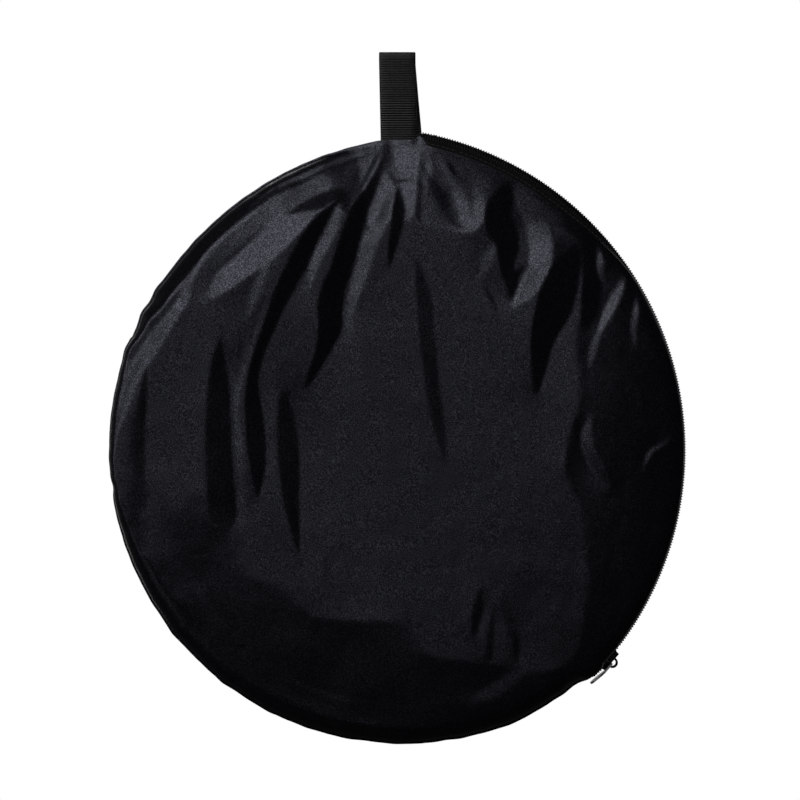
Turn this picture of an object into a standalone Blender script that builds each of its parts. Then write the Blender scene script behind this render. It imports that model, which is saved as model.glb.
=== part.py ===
"""A collapsed studio reflector disc in its zipped fabric bag, hung by a webbing loop.

Metres, +Z up. The bag hangs in the XZ plane and its front looks along -Y. The origin is the
inside crown of the webbing loop, where a hook or a finger carries the whole kit.
Angles in the XZ plane are degrees clockwise from the top, as seen from the front.
"""

from math import asin, atan2, ceil, cos, degrees, hypot, pi, radians, sin, sqrt

import bmesh
import bpy
from mathutils import Matrix, Vector

# ---- driving dimensions, in metres ----
GAP = 0.0003  # left between two solids that touch on the real object

WEB_WIDTH = 0.020
WEB_THICK = 0.0014
LOOP_RISE = 0.0468  # bag seam to the inside crown of the loop
LOOP_CROWN_R = 0.0046  # centreline radius of the loop's top fold
SEAM_Z = -LOOP_RISE

FABRIC = 0.0010  # bag cloth with its lining
BAG_HALF_DEPTH = 0.014
BAG_CENTRE = (0.0, SEAM_Z - 0.168)
ROLL_WIDTH = 0.016  # how far in from the rim the panel rolls over to its flat face
TOP_RADIUS = 0.1678  # rim radius under the loop

ZIP_CENTRE = (-0.020, SEAM_Z - 0.170)
ZIP_RADIUS = 0.1763
ZIP_HALF_WIDTH = 0.0093  # rim half width along the zip
TAPE_INNER = 0.0035
TAPE_OUTER = 0.0090
TAPE_THICK = 0.0008
COIL_INNER = 0.0006
COIL_OUTER = 0.0032
COIL_HALF_HEIGHT = 0.0011
ZIP_START = 12.5
MOUTH_START = 18.0
MOUTH_END = 127.5
ZIP_END = 134.5
STOP_LENGTH = 1.0  # degrees of the zip arc under a stop

LEFT_CENTRE = (0.0203, SEAM_Z - 0.1783)
LEFT_RADIUS = 0.1805
LOW_CENTRE = (0.0028, SEAM_Z - 0.1695)
LOW_RADIUS = 0.1615

DISC_CENTRE = (0.0, SEAM_Z - 0.1835)
OPEN_DIAMETER = 0.790  # steel hoop of an 80 cm reflector
TURNS = 3
HOOP_RADIUS = OPEN_DIAMETER / 2 / TURNS
STRAND_RADIAL = 0.0033  # how far the three turns wander apart, radially
STRAND_AXIAL = 0.0080  # and along Y
BAND_HALF_WIDTH = 0.00205
BAND_HALF_THICK = 0.0004
BAND_OFFSET = 0.0002  # the band lies this far outside its binding's middle
BINDING_HALF_WIDTH = 0.00365
BINDING_HALF_DEPTH = 0.0021
BINDING_CLOTH = 0.0005
SHEET_RADIUS = 0.124
SHEET_THICK = 0.0007
FOLD_PITCH = 0.0070
FOLD_REACH = 0.116

SLIDER_AT = 130.3  # where the slider is parked with the zip closed
SLIDER_HALF_LENGTH = 0.0060
BAIL_RADIUS = 0.0024
BAIL_HEIGHT = 0.0036  # centre of the bail's hoop, outside the zip's arc
TAB_LENGTH = 0.014
TAB_BEND = 10.0  # degrees the pull is cranked in, to lie along the rim

STEPS_PER_TURN = 36


# ---- mesh helpers ----
def at(centre, radius, angle, y=0.0):
    """The point at this angle, clockwise from the top, on a circle in a plane of constant Y."""
    turn = radians(angle)
    return Vector((centre[0] + radius * sin(turn), y, centre[1] + radius * cos(turn)))


def smooth(value):
    """0 to 1 with flat ends."""
    value = min(1.0, max(0.0, value))
    return value * value * (3 - 2 * value)


def material(name, colour, roughness, metallic=0.0):
    made = bpy.data.materials.get(name) or bpy.data.materials.new(name)
    made.use_nodes = True
    shader = made.node_tree.nodes["Principled BSDF"]
    shader.inputs["Base Color"].default_value = (*colour, 1.0)
    shader.inputs["Roughness"].default_value = roughness
    shader.inputs["Metallic"].default_value = metallic
    return made


def add(name, mesh_data, finish):
    """Turns a bmesh into a named, closed, outward-facing object."""
    bmesh.ops.recalc_face_normals(mesh_data, faces=mesh_data.faces)
    mesh = bpy.data.meshes.new(name)
    mesh_data.to_mesh(mesh)
    mesh_data.free()
    mesh.shade_smooth()
    mesh.set_sharp_from_angle(angle=radians(35))
    mesh.materials.append(finish)
    made = bpy.data.objects.new(name, mesh)
    bpy.context.scene.collection.objects.link(made)
    return made


def skin(rings, closed=False):
    """A solid through rings of equally many points: a sweep, capped unless it closes on itself."""
    made = bmesh.new()
    rows = [[made.verts.new(point) for point in ring] for ring in rings]
    following = rows[1:] + rows[:1] if closed else rows[1:]
    for row, after in zip(rows, following):
        for k in range(len(row)):
            n = (k + 1) % len(row)
            made.faces.new((row[k], row[n], after[n], after[k]))
    if not closed:
        made.faces.new(rows[0][::-1])
        made.faces.new(rows[-1])
    return made


def prism(outline, low, high):
    """The outline, a function of one coordinate giving 3D points, extruded between two values."""
    return skin([outline(low), outline(high)])


def boolean(target, other, operation):
    """Applies a Boolean and removes the helper object."""
    cut = target.modifiers.new(operation.title(), "BOOLEAN")
    cut.object = other
    cut.operation = operation
    cut.solver = "EXACT"
    graph = bpy.context.evaluated_depsgraph_get()
    result = bpy.data.meshes.new_from_object(target.evaluated_get(graph))
    target.modifiers.clear()
    target.data = result
    bpy.data.objects.remove(other)
    return target


# ---- the bag's outline ----
def ray_to_circle(angle, centre, radius):
    """How far from the bag's centre a ray at this angle leaves the circle."""
    dx, dz = BAG_CENTRE[0] - centre[0], BAG_CENTRE[1] - centre[1]
    along = dx * sin(radians(angle)) + dz * cos(radians(angle))
    return -along + sqrt(along * along - (dx * dx + dz * dz - radius * radius))


def bag_angle(zip_angle, radius=ZIP_RADIUS):
    """The angle about the bag's centre of a point on the zip's arc."""
    point = at(ZIP_CENTRE, radius, zip_angle)
    return degrees(atan2(point.x - BAG_CENTRE[0], point.z - BAG_CENTRE[1])) % 360


LOW_FROM = 137.0  # bag angles where the rim passes from one arc to the next
LEFT_FROM = 292.0
UNDER_LOOP = 3.6
PAST_LOOP = 6.0


def rim_radius(angle):
    """Three arcs: the zip side, the bottom, and the upper left, level under the loop."""
    angle %= 360
    if angle < LOW_FROM:
        found = ray_to_circle(angle, ZIP_CENTRE, ZIP_RADIUS)
    elif angle < LEFT_FROM:
        found = ray_to_circle(angle, LOW_CENTRE, LOW_RADIUS)
    else:
        found = ray_to_circle(angle, LEFT_CENTRE, LEFT_RADIUS)
    from_top = min(angle, 360 - angle)
    share = smooth((from_top - UNDER_LOOP) / (PAST_LOOP - UNDER_LOOP))
    return TOP_RADIUS + (found - TOP_RADIUS) * share


ZIP_FROM_BAG = bag_angle(ZIP_START)
ZIP_TO_BAG = bag_angle(ZIP_END)
RIM_BLEND = 2.6  # degrees over which the zip's flat rim closes to a plain seam


def rim_half_width(angle):
    """Half the width of the flat rim: a sewn edge, or the room for the zip."""
    angle %= 360
    if angle > 180 + ZIP_TO_BAG / 2:
        angle -= 360
    outside = max(ZIP_FROM_BAG - angle, angle - ZIP_TO_BAG, 0.0)
    return GAP + (ZIP_HALF_WIDTH - GAP) * (1 - smooth(outside / RIM_BLEND))


# ---- the bag ----
ROLL_STEPS = 5


def panel_profile(angle, inset, side):
    """Points from the middle to the rim of one face of a panel; inset is 0 outside, FABRIC inside."""
    rim = rim_radius(angle) - inset
    deep = BAG_HALF_DEPTH - inset
    shallow = rim_half_width(angle)
    flat_to = rim - ROLL_WIDTH + inset
    points = [at(BAG_CENTRE, flat_to * share, angle, side * deep) for share in (0.5, 1.0)]
    for step in range(1, ROLL_STEPS + 1):
        turn = radians(90 * step / ROLL_STEPS)
        radius = flat_to + (rim - flat_to) * sin(turn)
        points.append(at(BAG_CENTRE, radius, angle, side * (shallow + (deep - shallow) * cos(turn))))
    return points


def panel_angles():
    """Every 5 degrees, with more where the rim changes."""
    wanted = {5.0 * k for k in range(72)}
    edges = (ZIP_FROM_BAG, ZIP_TO_BAG, LOW_FROM, LEFT_FROM, UNDER_LOOP, 360 - UNDER_LOOP, 360 - PAST_LOOP)
    more = {edge % 360 for edge in edges} | {(ZIP_FROM_BAG - RIM_BLEND), (ZIP_TO_BAG + RIM_BLEND)}
    kept = {angle for angle in wanted if all(abs(angle - other) > 1.2 for other in more)}
    return sorted(kept | more)


def panel(side):
    """One whole face of the bag, a shallow tray: side -1 is the front."""
    made = bmesh.new()
    middle = [made.verts.new((BAG_CENTRE[0], side * depth, BAG_CENTRE[1]))
              for depth in (BAG_HALF_DEPTH, BAG_HALF_DEPTH - FABRIC)]
    rows = []
    for angle in panel_angles():
        outer = panel_profile(angle, 0.0, side)
        inner = panel_profile(angle, FABRIC, side)
        rows.append([made.verts.new(point) for point in outer + inner[::-1]])
    for row, after in zip(rows, rows[1:] + rows[:1]):
        made.faces.new((middle[0], row[0], after[0]))
        made.faces.new((middle[1], after[-1], row[-1]))
        for k in range(len(row) - 1):
            made.faces.new((row[k], row[k + 1], after[k + 1], after[k]))
    return made


MOUTH_MIDDLE = (MOUTH_START + MOUTH_END) / 2
MOUTH_HALF = (MOUTH_END - MOUTH_START) / 2
MOUTH_OUT = at((0, 0), 1.0, MOUTH_MIDDLE)  # square to the fold line, towards the zip
FOLD_DISTANCE = ZIP_RADIUS * cos(radians(MOUTH_HALF))


def fold_point(beyond, y=0.0):
    """The middle of the lips' fold line, moved towards the zip by this much."""
    return at(ZIP_CENTRE, FOLD_DISTANCE + beyond, MOUTH_MIDDLE, y)


def cut_at_fold(mesh_data, keep_lip):
    """Keeps the lip beyond the fold line, or the fixed panel on the other side of it."""
    sign = 1 if keep_lip else -1
    geometry = mesh_data.verts[:] + mesh_data.edges[:] + mesh_data.faces[:]
    cut = bmesh.ops.bisect_plane(
        mesh_data, geom=geometry, dist=1e-7, plane_co=fold_point(sign * GAP),
        plane_no=MOUTH_OUT, clear_inner=keep_lip, clear_outer=not keep_lip)
    edges = [item for item in cut["geom_cut"] if isinstance(item, bmesh.types.BMEdge)]
    open_edges = [edge for edge in edges if edge.is_boundary]
    bmesh.ops.triangle_fill(mesh_data, edges=open_edges, use_beauty=True)
    return mesh_data


def make_bag(cloth, webbing, thread):
    for side, word in ((-1, "front"), (1, "back")):
        add(f"{word}_panel", cut_at_fold(panel(side), keep_lip=False), cloth)
        add(f"{word}_lip", cut_at_fold(panel(side), keep_lip=True), cloth)
    add("seam_binding", seam_binding(), webbing)
    make_loop_tails(webbing, thread)


BINDING_TAPE_DEPTH = 0.005
BINDING_TAPE_HALF = 0.0012
BINDING_TAPE_INSET = 0.0022


def seam_binding():
    """The tape that binds the seam allowance inside the bag, all round the sewn part of the rim."""
    first, last = ZIP_TO_BAG + 2 * RIM_BLEND, 360 - 1.3 * PAST_LOOP
    steps = ceil((last - first) / 5)
    rings = []
    for k in range(steps + 1):
        angle = first + (last - first) * k / steps
        outer = rim_radius(angle) - BINDING_TAPE_INSET
        inner = outer - BINDING_TAPE_DEPTH
        rings.append([at(BAG_CENTRE, radius, angle, y) for radius, y in (
            (outer, -BINDING_TAPE_HALF), (outer, BINDING_TAPE_HALF),
            (inner, BINDING_TAPE_HALF), (inner, -BINDING_TAPE_HALF))])
    return skin(rings)


# ---- the hanging loop ----
TAIL_TOP = SEAM_Z - 0.0024
TAIL_LENGTH = 0.0105
TACK_WIDTH = 0.0012
TACK_WALL = 0.0004


def box(low, high):
    """A plain block between two corners."""
    return prism(lambda z: [(low[0], low[1], z), (high[0], low[1], z),
                            (high[0], high[1], z), (low[0], high[1], z)], low[2], high[2])


def make_loop_tails(webbing, thread):
    """The two webbing ends inside the seam, and the two bar tacks that go through them."""
    half_x, half_y = WEB_WIDTH / 2, WEB_THICK + GAP / 2
    add("loop_tails", box((-half_x, -half_y, TAIL_TOP - TAIL_LENGTH), (half_x, half_y, TAIL_TOP)), webbing)
    for level, word in ((0.28, "upper"), (0.72, "lower")):
        z = TAIL_TOP - TAIL_LENGTH * level
        inside = (half_x + GAP, half_y + GAP)
        outside = (inside[0] + TACK_WALL, inside[1] + TACK_WALL)
        rings = []
        for size, height in ((inside, -1), (outside, -1), (outside, 1), (inside, 1)):
            top = z + height * TACK_WIDTH / 2
            rings.append([(sx * size[0], sy * size[1], top)
                          for sx, sy in ((-1, -1), (1, -1), (1, 1), (-1, 1))])
        add(f"bar_tack_{word}", skin(rings, closed=True), thread)


LOOP_FOOT = 0.0014  # above the seam; the webbing bends just above its foot
LOOP_FLARE_FROM = 0.0045
LOOP_FLARE_TO = 0.022


def loop_half_gap(height):
    """Centreline distance of a leg from the loop's mid plane, at a height above the seam."""
    closed = WEB_THICK / 2 + GAP / 2
    share = smooth((height - LOOP_FLARE_FROM) / (LOOP_FLARE_TO - LOOP_FLARE_FROM))
    return closed + (LOOP_CROWN_R - closed) * share


def loop_centreline():
    """From the front leg's foot, over the crown, to the back leg's foot, as (y, z)."""
    crown = -LOOP_CROWN_R + WEB_THICK / 2
    heights = [LOOP_FOOT, LOOP_FLARE_FROM] + [
        LOOP_FLARE_FROM + (LOOP_FLARE_TO - LOOP_FLARE_FROM) * k / 5 for k in range(1, 6)]
    leg = [(-loop_half_gap(height), SEAM_Z + height) for height in heights]
    top = [(-LOOP_CROWN_R * cos(radians(15 * k)), crown + LOOP_CROWN_R * sin(radians(15 * k)))
           for k in range(13)]
    return leg + top + [(-y, z) for y, z in leg[::-1]]


def loop_webbing():
    line = [Vector(point) for point in loop_centreline()]
    rings = []
    for k, point in enumerate(line):
        ahead = (line[min(k + 1, len(line) - 1)] - line[max(k - 1, 0)]).normalized()
        outward = Vector((-ahead.y, ahead.x)) * (WEB_THICK / 2)
        outer, inner = point + outward, point - outward
        half = WEB_WIDTH / 2
        rings.append([(-half, *outer), (half, *outer), (half, *inner), (-half, *inner)])
    return skin(rings)


# ---- the zip ----
def arc_solid(section, first, last):
    """A bar along the zip's arc. The section is (y, distance outside the arc) points."""
    steps = max(1, ceil((last - first) / 2.5))
    rings = []
    for k in range(steps + 1):
        angle = first + (last - first) * k / steps
        rings.append([at(ZIP_CENTRE, ZIP_RADIUS + out, angle, y) for y, out in section])
    return skin(rings)


def tape_section(side, inner=TAPE_INNER):
    half = TAPE_THICK / 2
    return [(side * inner, -half), (side * TAPE_OUTER, -half), (side * TAPE_OUTER, half), (side * inner, half)]


def coil_section(side):
    """A flattened bead, chamfered on its outer side."""
    high, low = COIL_HALF_HEIGHT, 0.6 * COIL_HALF_HEIGHT
    far, near = side * COIL_OUTER, side * COIL_INNER
    shoulder = side * (COIL_OUTER - 0.0007)
    return [(near, -high), (shoulder, -high), (far, -low), (far, low), (shoulder, high), (near, high)]


def joined_section(side):
    """One side of a sewn zip end: the coil run into its tape."""
    half = TAPE_THICK / 2
    coil = coil_section(side)
    tape = [(side * COIL_OUTER, -half), (side * TAPE_OUTER, -half), (side * TAPE_OUTER, half), (side * COIL_OUTER, half)]
    return coil[:3] + tape + coil[3:]


BRIDGE_HALF_WIDTH = 0.0020
BRIDGE_HALF_HEIGHT = 0.0007
BRIDGE_LENGTH = 0.9  # degrees


def zip_end(first, last, bridge_from):
    """Both sides of the chain past the mouth, sewn across to each other by a bridge of thread."""
    half_y, half_n = BRIDGE_HALF_WIDTH, BRIDGE_HALF_HEIGHT
    bridge = [(-half_y, -half_n), (half_y, -half_n), (half_y, half_n), (-half_y, half_n)]
    joined = part_object(arc_solid(bridge, bridge_from, bridge_from + BRIDGE_LENGTH))
    for side in (-1, 1):
        boolean(joined, part_object(arc_solid(joined_section(side), first, last)), "UNION")
    return joined


def to_mesh(mesh_data):
    bmesh.ops.recalc_face_normals(mesh_data, faces=mesh_data.faces)
    mesh = bpy.data.meshes.new("shape")
    mesh_data.to_mesh(mesh)
    mesh_data.free()
    return mesh


def finish_joined(made, name, finish):
    """Names a shape made by Booleans and gives it its one material."""
    made.name = name
    made.data.name = name
    made.data.materials.clear()
    made.data.materials.append(finish)
    made.data.shade_smooth()
    made.data.set_sharp_from_angle(angle=radians(35))


def stop_section():
    """A staple around both coils."""
    outer_y, outer_n = COIL_OUTER + GAP + 0.0006, COIL_HALF_HEIGHT + GAP + 0.0006
    inner_y, inner_n = COIL_OUTER + GAP, COIL_HALF_HEIGHT + GAP
    return outer_y, outer_n, inner_y, inner_n


def zip_stop(first):
    """A metal clip bent over the outside of the chain: a U that ends above the tape."""
    outer_y, outer_n, inner_y, inner_n = stop_section()
    foot = TAPE_THICK / 2 + GAP
    section = [(-outer_y, foot), (-outer_y, outer_n), (outer_y, outer_n), (outer_y, foot),
               (inner_y, foot), (inner_y, inner_n), (-inner_y, inner_n), (-inner_y, foot)]
    return arc_solid(section, first, first + STOP_LENGTH)


def make_zip(tape, coil, metal):
    slack = degrees(GAP / ZIP_RADIUS)
    for side, word in ((-1, "front"), (1, "back")):
        first, last = MOUTH_START + slack, MOUTH_END - slack
        add(f"zip_tape_{word}", arc_solid(tape_section(side), first, last), tape)
        add(f"zip_coil_{word}", arc_solid(coil_section(side), first, last), coil)
    margin = 0.1
    upper = zip_end(ZIP_START, MOUTH_START - slack, ZIP_START + margin)
    lower = zip_end(MOUTH_END + slack, ZIP_END, ZIP_END - BRIDGE_LENGTH - margin)
    finish_joined(upper, "zip_upper_end", tape)
    finish_joined(lower, "zip_lower_end", tape)
    add("zip_upper_stop", zip_stop(ZIP_START + 0.1), metal)
    add("zip_lower_stop", zip_stop(ZIP_END - 0.1 - STOP_LENGTH), metal)


# ---- the slider and its pull ----
PLATE_NEAR = 0.0015
PLATE_FAR = 0.0027
SLIDER_HALF_WIDTH = 0.0048
FLANGE_INNER = 0.0037
FLANGE_TIP = 0.0008
POST_HALF = 0.0003
BAIL_HALF_WIDTH = 0.0009
BAIL_HALF_THICK = 0.0006


def slider_frame():
    """Carries the slider's own axes to its parked place: X along the zip, Y across it, Z outward."""
    place = at(ZIP_CENTRE, ZIP_RADIUS, SLIDER_AT)
    along = at((0, 0), 1.0, SLIDER_AT + 90)
    out = at((0, 0), 1.0, SLIDER_AT)
    across = out.cross(along)
    return Matrix.Translation(place) @ Matrix((along, across, out)).transposed().to_4x4()


def plate_outline(z):
    """A shield: square at the tail, tapered to the nose."""
    half, wide, nose = SLIDER_HALF_LENGTH, SLIDER_HALF_WIDTH, 0.0034
    return [(-half, -wide, z), (0.2 * half, -wide, z), (half, -nose, z),
            (half, nose, z), (0.2 * half, wide, z), (-half, wide, z)]


def part_object(mesh_data):
    made = bpy.data.objects.new("piece", to_mesh(mesh_data))
    bpy.context.scene.collection.objects.link(made)
    return made


def bail():
    """A half hoop over the outer plate; the pull's eye runs round it."""
    root = PLATE_FAR - 0.0006
    hoop = [(-BAIL_RADIUS * cos(radians(15 * k)), BAIL_HEIGHT + BAIL_RADIUS * sin(radians(15 * k)))
            for k in range(13)]
    line = [Vector(point) for point in [(-BAIL_RADIUS, root), *hoop, (BAIL_RADIUS, root)]]
    rings = []
    for k, point in enumerate(line):
        ahead = line[min(k + 1, len(line) - 1)] - line[max(k - 1, 0)]
        aside = Vector((-ahead.y, ahead.x)).normalized() * BAIL_HALF_THICK
        outer, inner = point + aside, point - aside
        w = BAIL_HALF_WIDTH
        rings.append([(outer.x, -w, outer.y), (outer.x, w, outer.y), (inner.x, w, inner.y), (inner.x, -w, inner.y)])
    return skin(rings)


def make_slider(metal):
    """Two plates with curled sides, joined by the post between the coils, and the bail."""
    body = part_object(prism(plate_outline, PLATE_NEAR, PLATE_FAR))
    pieces = [prism(plate_outline, -PLATE_FAR, -PLATE_NEAR),
              box((0.0012, -POST_HALF, -0.002), (0.0052, POST_HALF, 0.002)), bail()]
    for side in (-1, 1):
        for sign in (-1, 1):
            y = sorted((side * FLANGE_INNER, side * SLIDER_HALF_WIDTH))
            z = sorted((sign * FLANGE_TIP, sign * (PLATE_NEAR + 0.0005)))
            pieces.append(box((-SLIDER_HALF_LENGTH, y[0], z[0]), (0.0010, y[1], z[1])))
    for piece in pieces:
        boolean(body, part_object(piece), "UNION")
    body.data.transform(slider_frame())
    finish_joined(body, "zip_slider", metal)


EYE_REACH = BAIL_HALF_THICK + 0.00035
EYE_HALF_WIDTH = BAIL_HALF_WIDTH + 0.00035
TAB_HALF_THICK = 0.0005
TAB_HALF_WIDTH = 0.0030
NECK_HALF_WIDTH = 0.0022
BEND_AT = 0.0068  # where the pull clears the slider's plate


def make_pull(metal):
    """A cranked tab whose eye rides on the bail, lying along the rim past the closed zip."""
    reach = BAIL_RADIUS + TAB_LENGTH
    slope = -sin(radians(TAB_BEND)) / cos(radians(TAB_BEND))
    stations = [(BAIL_RADIUS - 0.0020, NECK_HALF_WIDTH), (BEND_AT, NECK_HALF_WIDTH),
                (BEND_AT + 0.003, TAB_HALF_WIDTH), (reach - 0.002, TAB_HALF_WIDTH), (reach, 0.0014)]
    rings = []
    for x, half in stations:
        z = BAIL_HEIGHT + slope * max(0.0, x - BEND_AT)
        low, high = z - TAB_HALF_THICK, z + TAB_HALF_THICK
        rings.append([(x, -half, low), (x, half, low), (x, half, high), (x, -half, high)])
    tab = part_object(skin(rings))
    eye = box((BAIL_RADIUS - EYE_REACH, -EYE_HALF_WIDTH, BAIL_HEIGHT - 0.002),
              (BAIL_RADIUS + EYE_REACH, EYE_HALF_WIDTH, BAIL_HEIGHT + 0.002))
    boolean(tab, part_object(eye), "DIFFERENCE")
    tab.data.transform(slider_frame())
    finish_joined(tab, "pull_tab", metal)


# ---- the collapsed reflector ----
def strand(step):
    """Where the hoop's middle runs: one closed line that goes three times round."""
    turn = 2 * pi * step / (TURNS * STEPS_PER_TURN)
    return degrees(TURNS * turn), HOOP_RADIUS + STRAND_RADIAL * cos(turn), STRAND_AXIAL * sin(turn)


def hoop_rings(section, first, last):
    """Rings of a bar along the hoop. The section is (outward, y) points."""
    rings = []
    for step in range(first, last):
        angle, radius, y0 = strand(step)
        rings.append([at(DISC_CENTRE, radius + out, angle, y0 + y) for out, y in section])
    return rings


def rectangle(centre, half_out, half_y):
    return [(centre - half_out, -half_y), (centre + half_out, -half_y),
            (centre + half_out, half_y), (centre - half_out, half_y)]


def make_hoop(steel, brass, tape):
    whole = TURNS * STEPS_PER_TURN
    band = hoop_rings(rectangle(BAND_OFFSET, BAND_HALF_THICK, BAND_HALF_WIDTH), 0, whole)
    add("steel_band", skin(band, closed=True), steel)
    depth, width, cloth = BINDING_HALF_DEPTH, BINDING_HALF_WIDTH, BINDING_CLOTH
    channel = [(-depth, -width), (depth, -width), (depth, width), (-depth, width),
               (-depth, width - cloth), (depth - cloth, width - cloth),
               (depth - cloth, cloth - width), (-depth, cloth - width)]
    add("rim_binding", skin(hoop_rings(channel, 0, whole), closed=True), tape)
    add("band_ferrule", band_ferrule(), brass)


FERRULE_WALL = 0.0004
FERRULE_FROM = 18  # hoop step, at the bottom of the first turn
FERRULE_STEPS = 2


def band_ferrule():
    """The crimped tube over the joint in the steel band."""
    half_out, half_y = BAND_HALF_THICK + GAP, BAND_HALF_WIDTH + GAP
    inner = rectangle(BAND_OFFSET, half_out, half_y)
    outer = rectangle(BAND_OFFSET, half_out + FERRULE_WALL, half_y + FERRULE_WALL)
    last = FERRULE_FROM + FERRULE_STEPS
    out_rings = hoop_rings(outer, FERRULE_FROM, last + 1)
    in_rings = hoop_rings(inner, FERRULE_FROM, last + 1)
    return skin(out_rings + in_rings[::-1], closed=True)


def fold_line(offset):
    """A Z fold of three layers as (x, y) points, this far to one side of the middle line."""
    bend = FOLD_PITCH / 2
    turns = [radians(15 * k) for k in range(13)]
    points = [(-SHEET_RADIUS - 0.005, -FOLD_PITCH + offset)]
    points += [(FOLD_REACH + (bend - offset) * sin(turn), -bend - (bend - offset) * cos(turn)) for turn in turns]
    points += [(-FOLD_REACH - (bend + offset) * sin(turn), bend - (bend + offset) * cos(turn)) for turn in turns]
    points += [(SHEET_RADIUS + 0.005, FOLD_PITCH + offset)]
    return points


def folded_sheet(name, offset, finish):
    """One face cloth of the disc, folded in three and cut round to lie inside the hoop."""
    half = SHEET_THICK / 2
    outline = fold_line(offset - half) + fold_line(offset + half)[::-1]
    reach = SHEET_RADIUS + 0.004
    cx, cz = DISC_CENTRE
    sheet = part_object(prism(lambda z: [(cx + x, y, z) for x, y in outline], cz - reach, cz + reach))
    rings = [[at(DISC_CENTRE, SHEET_RADIUS, 7.5 * k, y) for k in range(48)] for y in (-0.03, 0.03)]
    boolean(sheet, part_object(skin(rings)), "INTERSECT")
    finish_joined(sheet, name, finish)


def make_reflector(steel, brass, tape, silver, white):
    make_hoop(steel, brass, tape)
    offset = SHEET_THICK / 2 + GAP / 2
    folded_sheet("silver_sheet", -offset, silver)
    folded_sheet("white_sheet", offset, white)


def main():
    for old in list(bpy.data.objects):
        bpy.data.objects.remove(old)
    cloth = material("bag_satin", (0.022, 0.022, 0.028), 0.42)
    webbing = material("webbing", (0.016, 0.016, 0.017), 0.75)
    thread = material("thread", (0.02, 0.02, 0.022), 0.6)
    tape = material("zip_tape", (0.012, 0.012, 0.013), 0.8)
    coil = material("zip_coil", (0.015, 0.015, 0.016), 0.45)
    metal = material("slider_metal", (0.03, 0.03, 0.032), 0.35, 0.8)
    plated = material("pull_metal", (0.5, 0.5, 0.51), 0.35, 1.0)
    binding = material("rim_tape", (0.012, 0.012, 0.013), 0.8)
    steel = material("spring_steel", (0.45, 0.46, 0.48), 0.3, 1.0)
    brass = material("ferrule_brass", (0.7, 0.55, 0.28), 0.35, 1.0)
    silver = material("silver_cloth", (0.62, 0.63, 0.65), 0.3, 0.7)
    white = material("white_cloth", (0.8, 0.8, 0.79), 0.7)
    add("loop_webbing", loop_webbing(), webbing)
    make_bag(cloth, webbing, thread)
    make_zip(tape, coil, metal)
    make_slider(metal)
    make_pull(plated)
    make_reflector(steel, brass, binding, silver, white)


main()
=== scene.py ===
"""The looks of a collapsed studio reflector in its zipped satin bag, hung by a webbing loop.

The bag's two faces are satin sheets that hang in gathers from the loop. Each gather is written
down as the way its cloth leans, and one surface is relaxed to follow all of those leans.
Angles round the rim are degrees clockwise from the top, as seen from the front.
"""

from math import atan2, cos, degrees, hypot, pi, radians, sin, tan

import bpy
import numpy as np
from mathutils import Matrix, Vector


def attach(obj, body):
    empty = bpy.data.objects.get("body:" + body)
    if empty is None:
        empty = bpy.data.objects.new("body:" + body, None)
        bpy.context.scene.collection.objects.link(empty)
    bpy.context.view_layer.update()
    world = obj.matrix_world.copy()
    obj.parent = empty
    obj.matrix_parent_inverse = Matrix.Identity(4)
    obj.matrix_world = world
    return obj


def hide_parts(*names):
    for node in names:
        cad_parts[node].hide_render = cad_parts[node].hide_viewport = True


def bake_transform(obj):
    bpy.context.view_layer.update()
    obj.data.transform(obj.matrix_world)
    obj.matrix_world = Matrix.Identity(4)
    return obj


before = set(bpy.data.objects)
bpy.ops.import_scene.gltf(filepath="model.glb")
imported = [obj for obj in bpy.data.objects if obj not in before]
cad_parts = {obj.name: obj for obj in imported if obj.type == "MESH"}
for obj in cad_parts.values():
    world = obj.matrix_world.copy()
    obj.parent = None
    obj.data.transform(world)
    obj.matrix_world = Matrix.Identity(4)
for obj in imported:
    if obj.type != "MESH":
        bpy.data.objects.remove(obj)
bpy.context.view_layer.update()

MM = 0.001

# ---- the bag's plan, as in the frame, in metres ----
SEAM_Z = -0.0468  # the bag's top seam, under the loop
BAG_CENTRE = (0.0, SEAM_Z - 0.168)
TOP_RADIUS = 0.1678
ZIP_CENTRE = (-0.020, SEAM_Z - 0.170)
ZIP_RADIUS = 0.1763
LEFT_CENTRE = (0.0203, SEAM_Z - 0.1783)
LEFT_RADIUS = 0.1805
LOW_CENTRE = (0.0028, SEAM_Z - 0.1695)
LOW_RADIUS = 0.1615
LOW_FROM = 137.0  # rim angles where one arc passes to the next
LEFT_FROM = 292.0
UNDER_LOOP = 2.3  # the rim is level up to this angle, and on its arc this much further round
PAST_LOOP = 2.2

ZIP_START = 9.7  # angles on the zip's own arc
MOUTH_START = 18.0
MOUTH_END = 127.5
ZIP_END = 134.5
UPPER_STOP = 13.1
LOWER_STOP = ZIP_END - 0.6
TAPE_EDGE_Y = 0.0093  # how far from the middle plane the zip tape meets the cloth
COIL_HALF_HEIGHT = 0.0009
COIL_SINK = 0.0004  # how far the coil's middle lies below the rim

DISC_CENTRE = (0.0, SEAM_Z - 0.1835)
HOOP_TURNS = 3
HOOP_RADIUS = 0.790 / 2 / HOOP_TURNS
STRAND_RADIAL = 0.0033
STRAND_AXIAL = 0.0080

CLOTH_LEVEL = 16.4  # mm from the middle plane to the middle of a bag face


# ---- plan geometry ----
def at(centre, radius, angle, y=0.0):
    """The point at this angle, clockwise from the top, on a circle in a plane of constant Y."""
    turn = radians(angle)
    return Vector((centre[0] + radius * sin(turn), y, centre[1] + radius * cos(turn)))


def smooth(value):
    """0 to 1 with flat ends, for a number or an array."""
    value = np.clip(value, 0.0, 1.0)
    return value * value * (3 - 2 * value)


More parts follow.
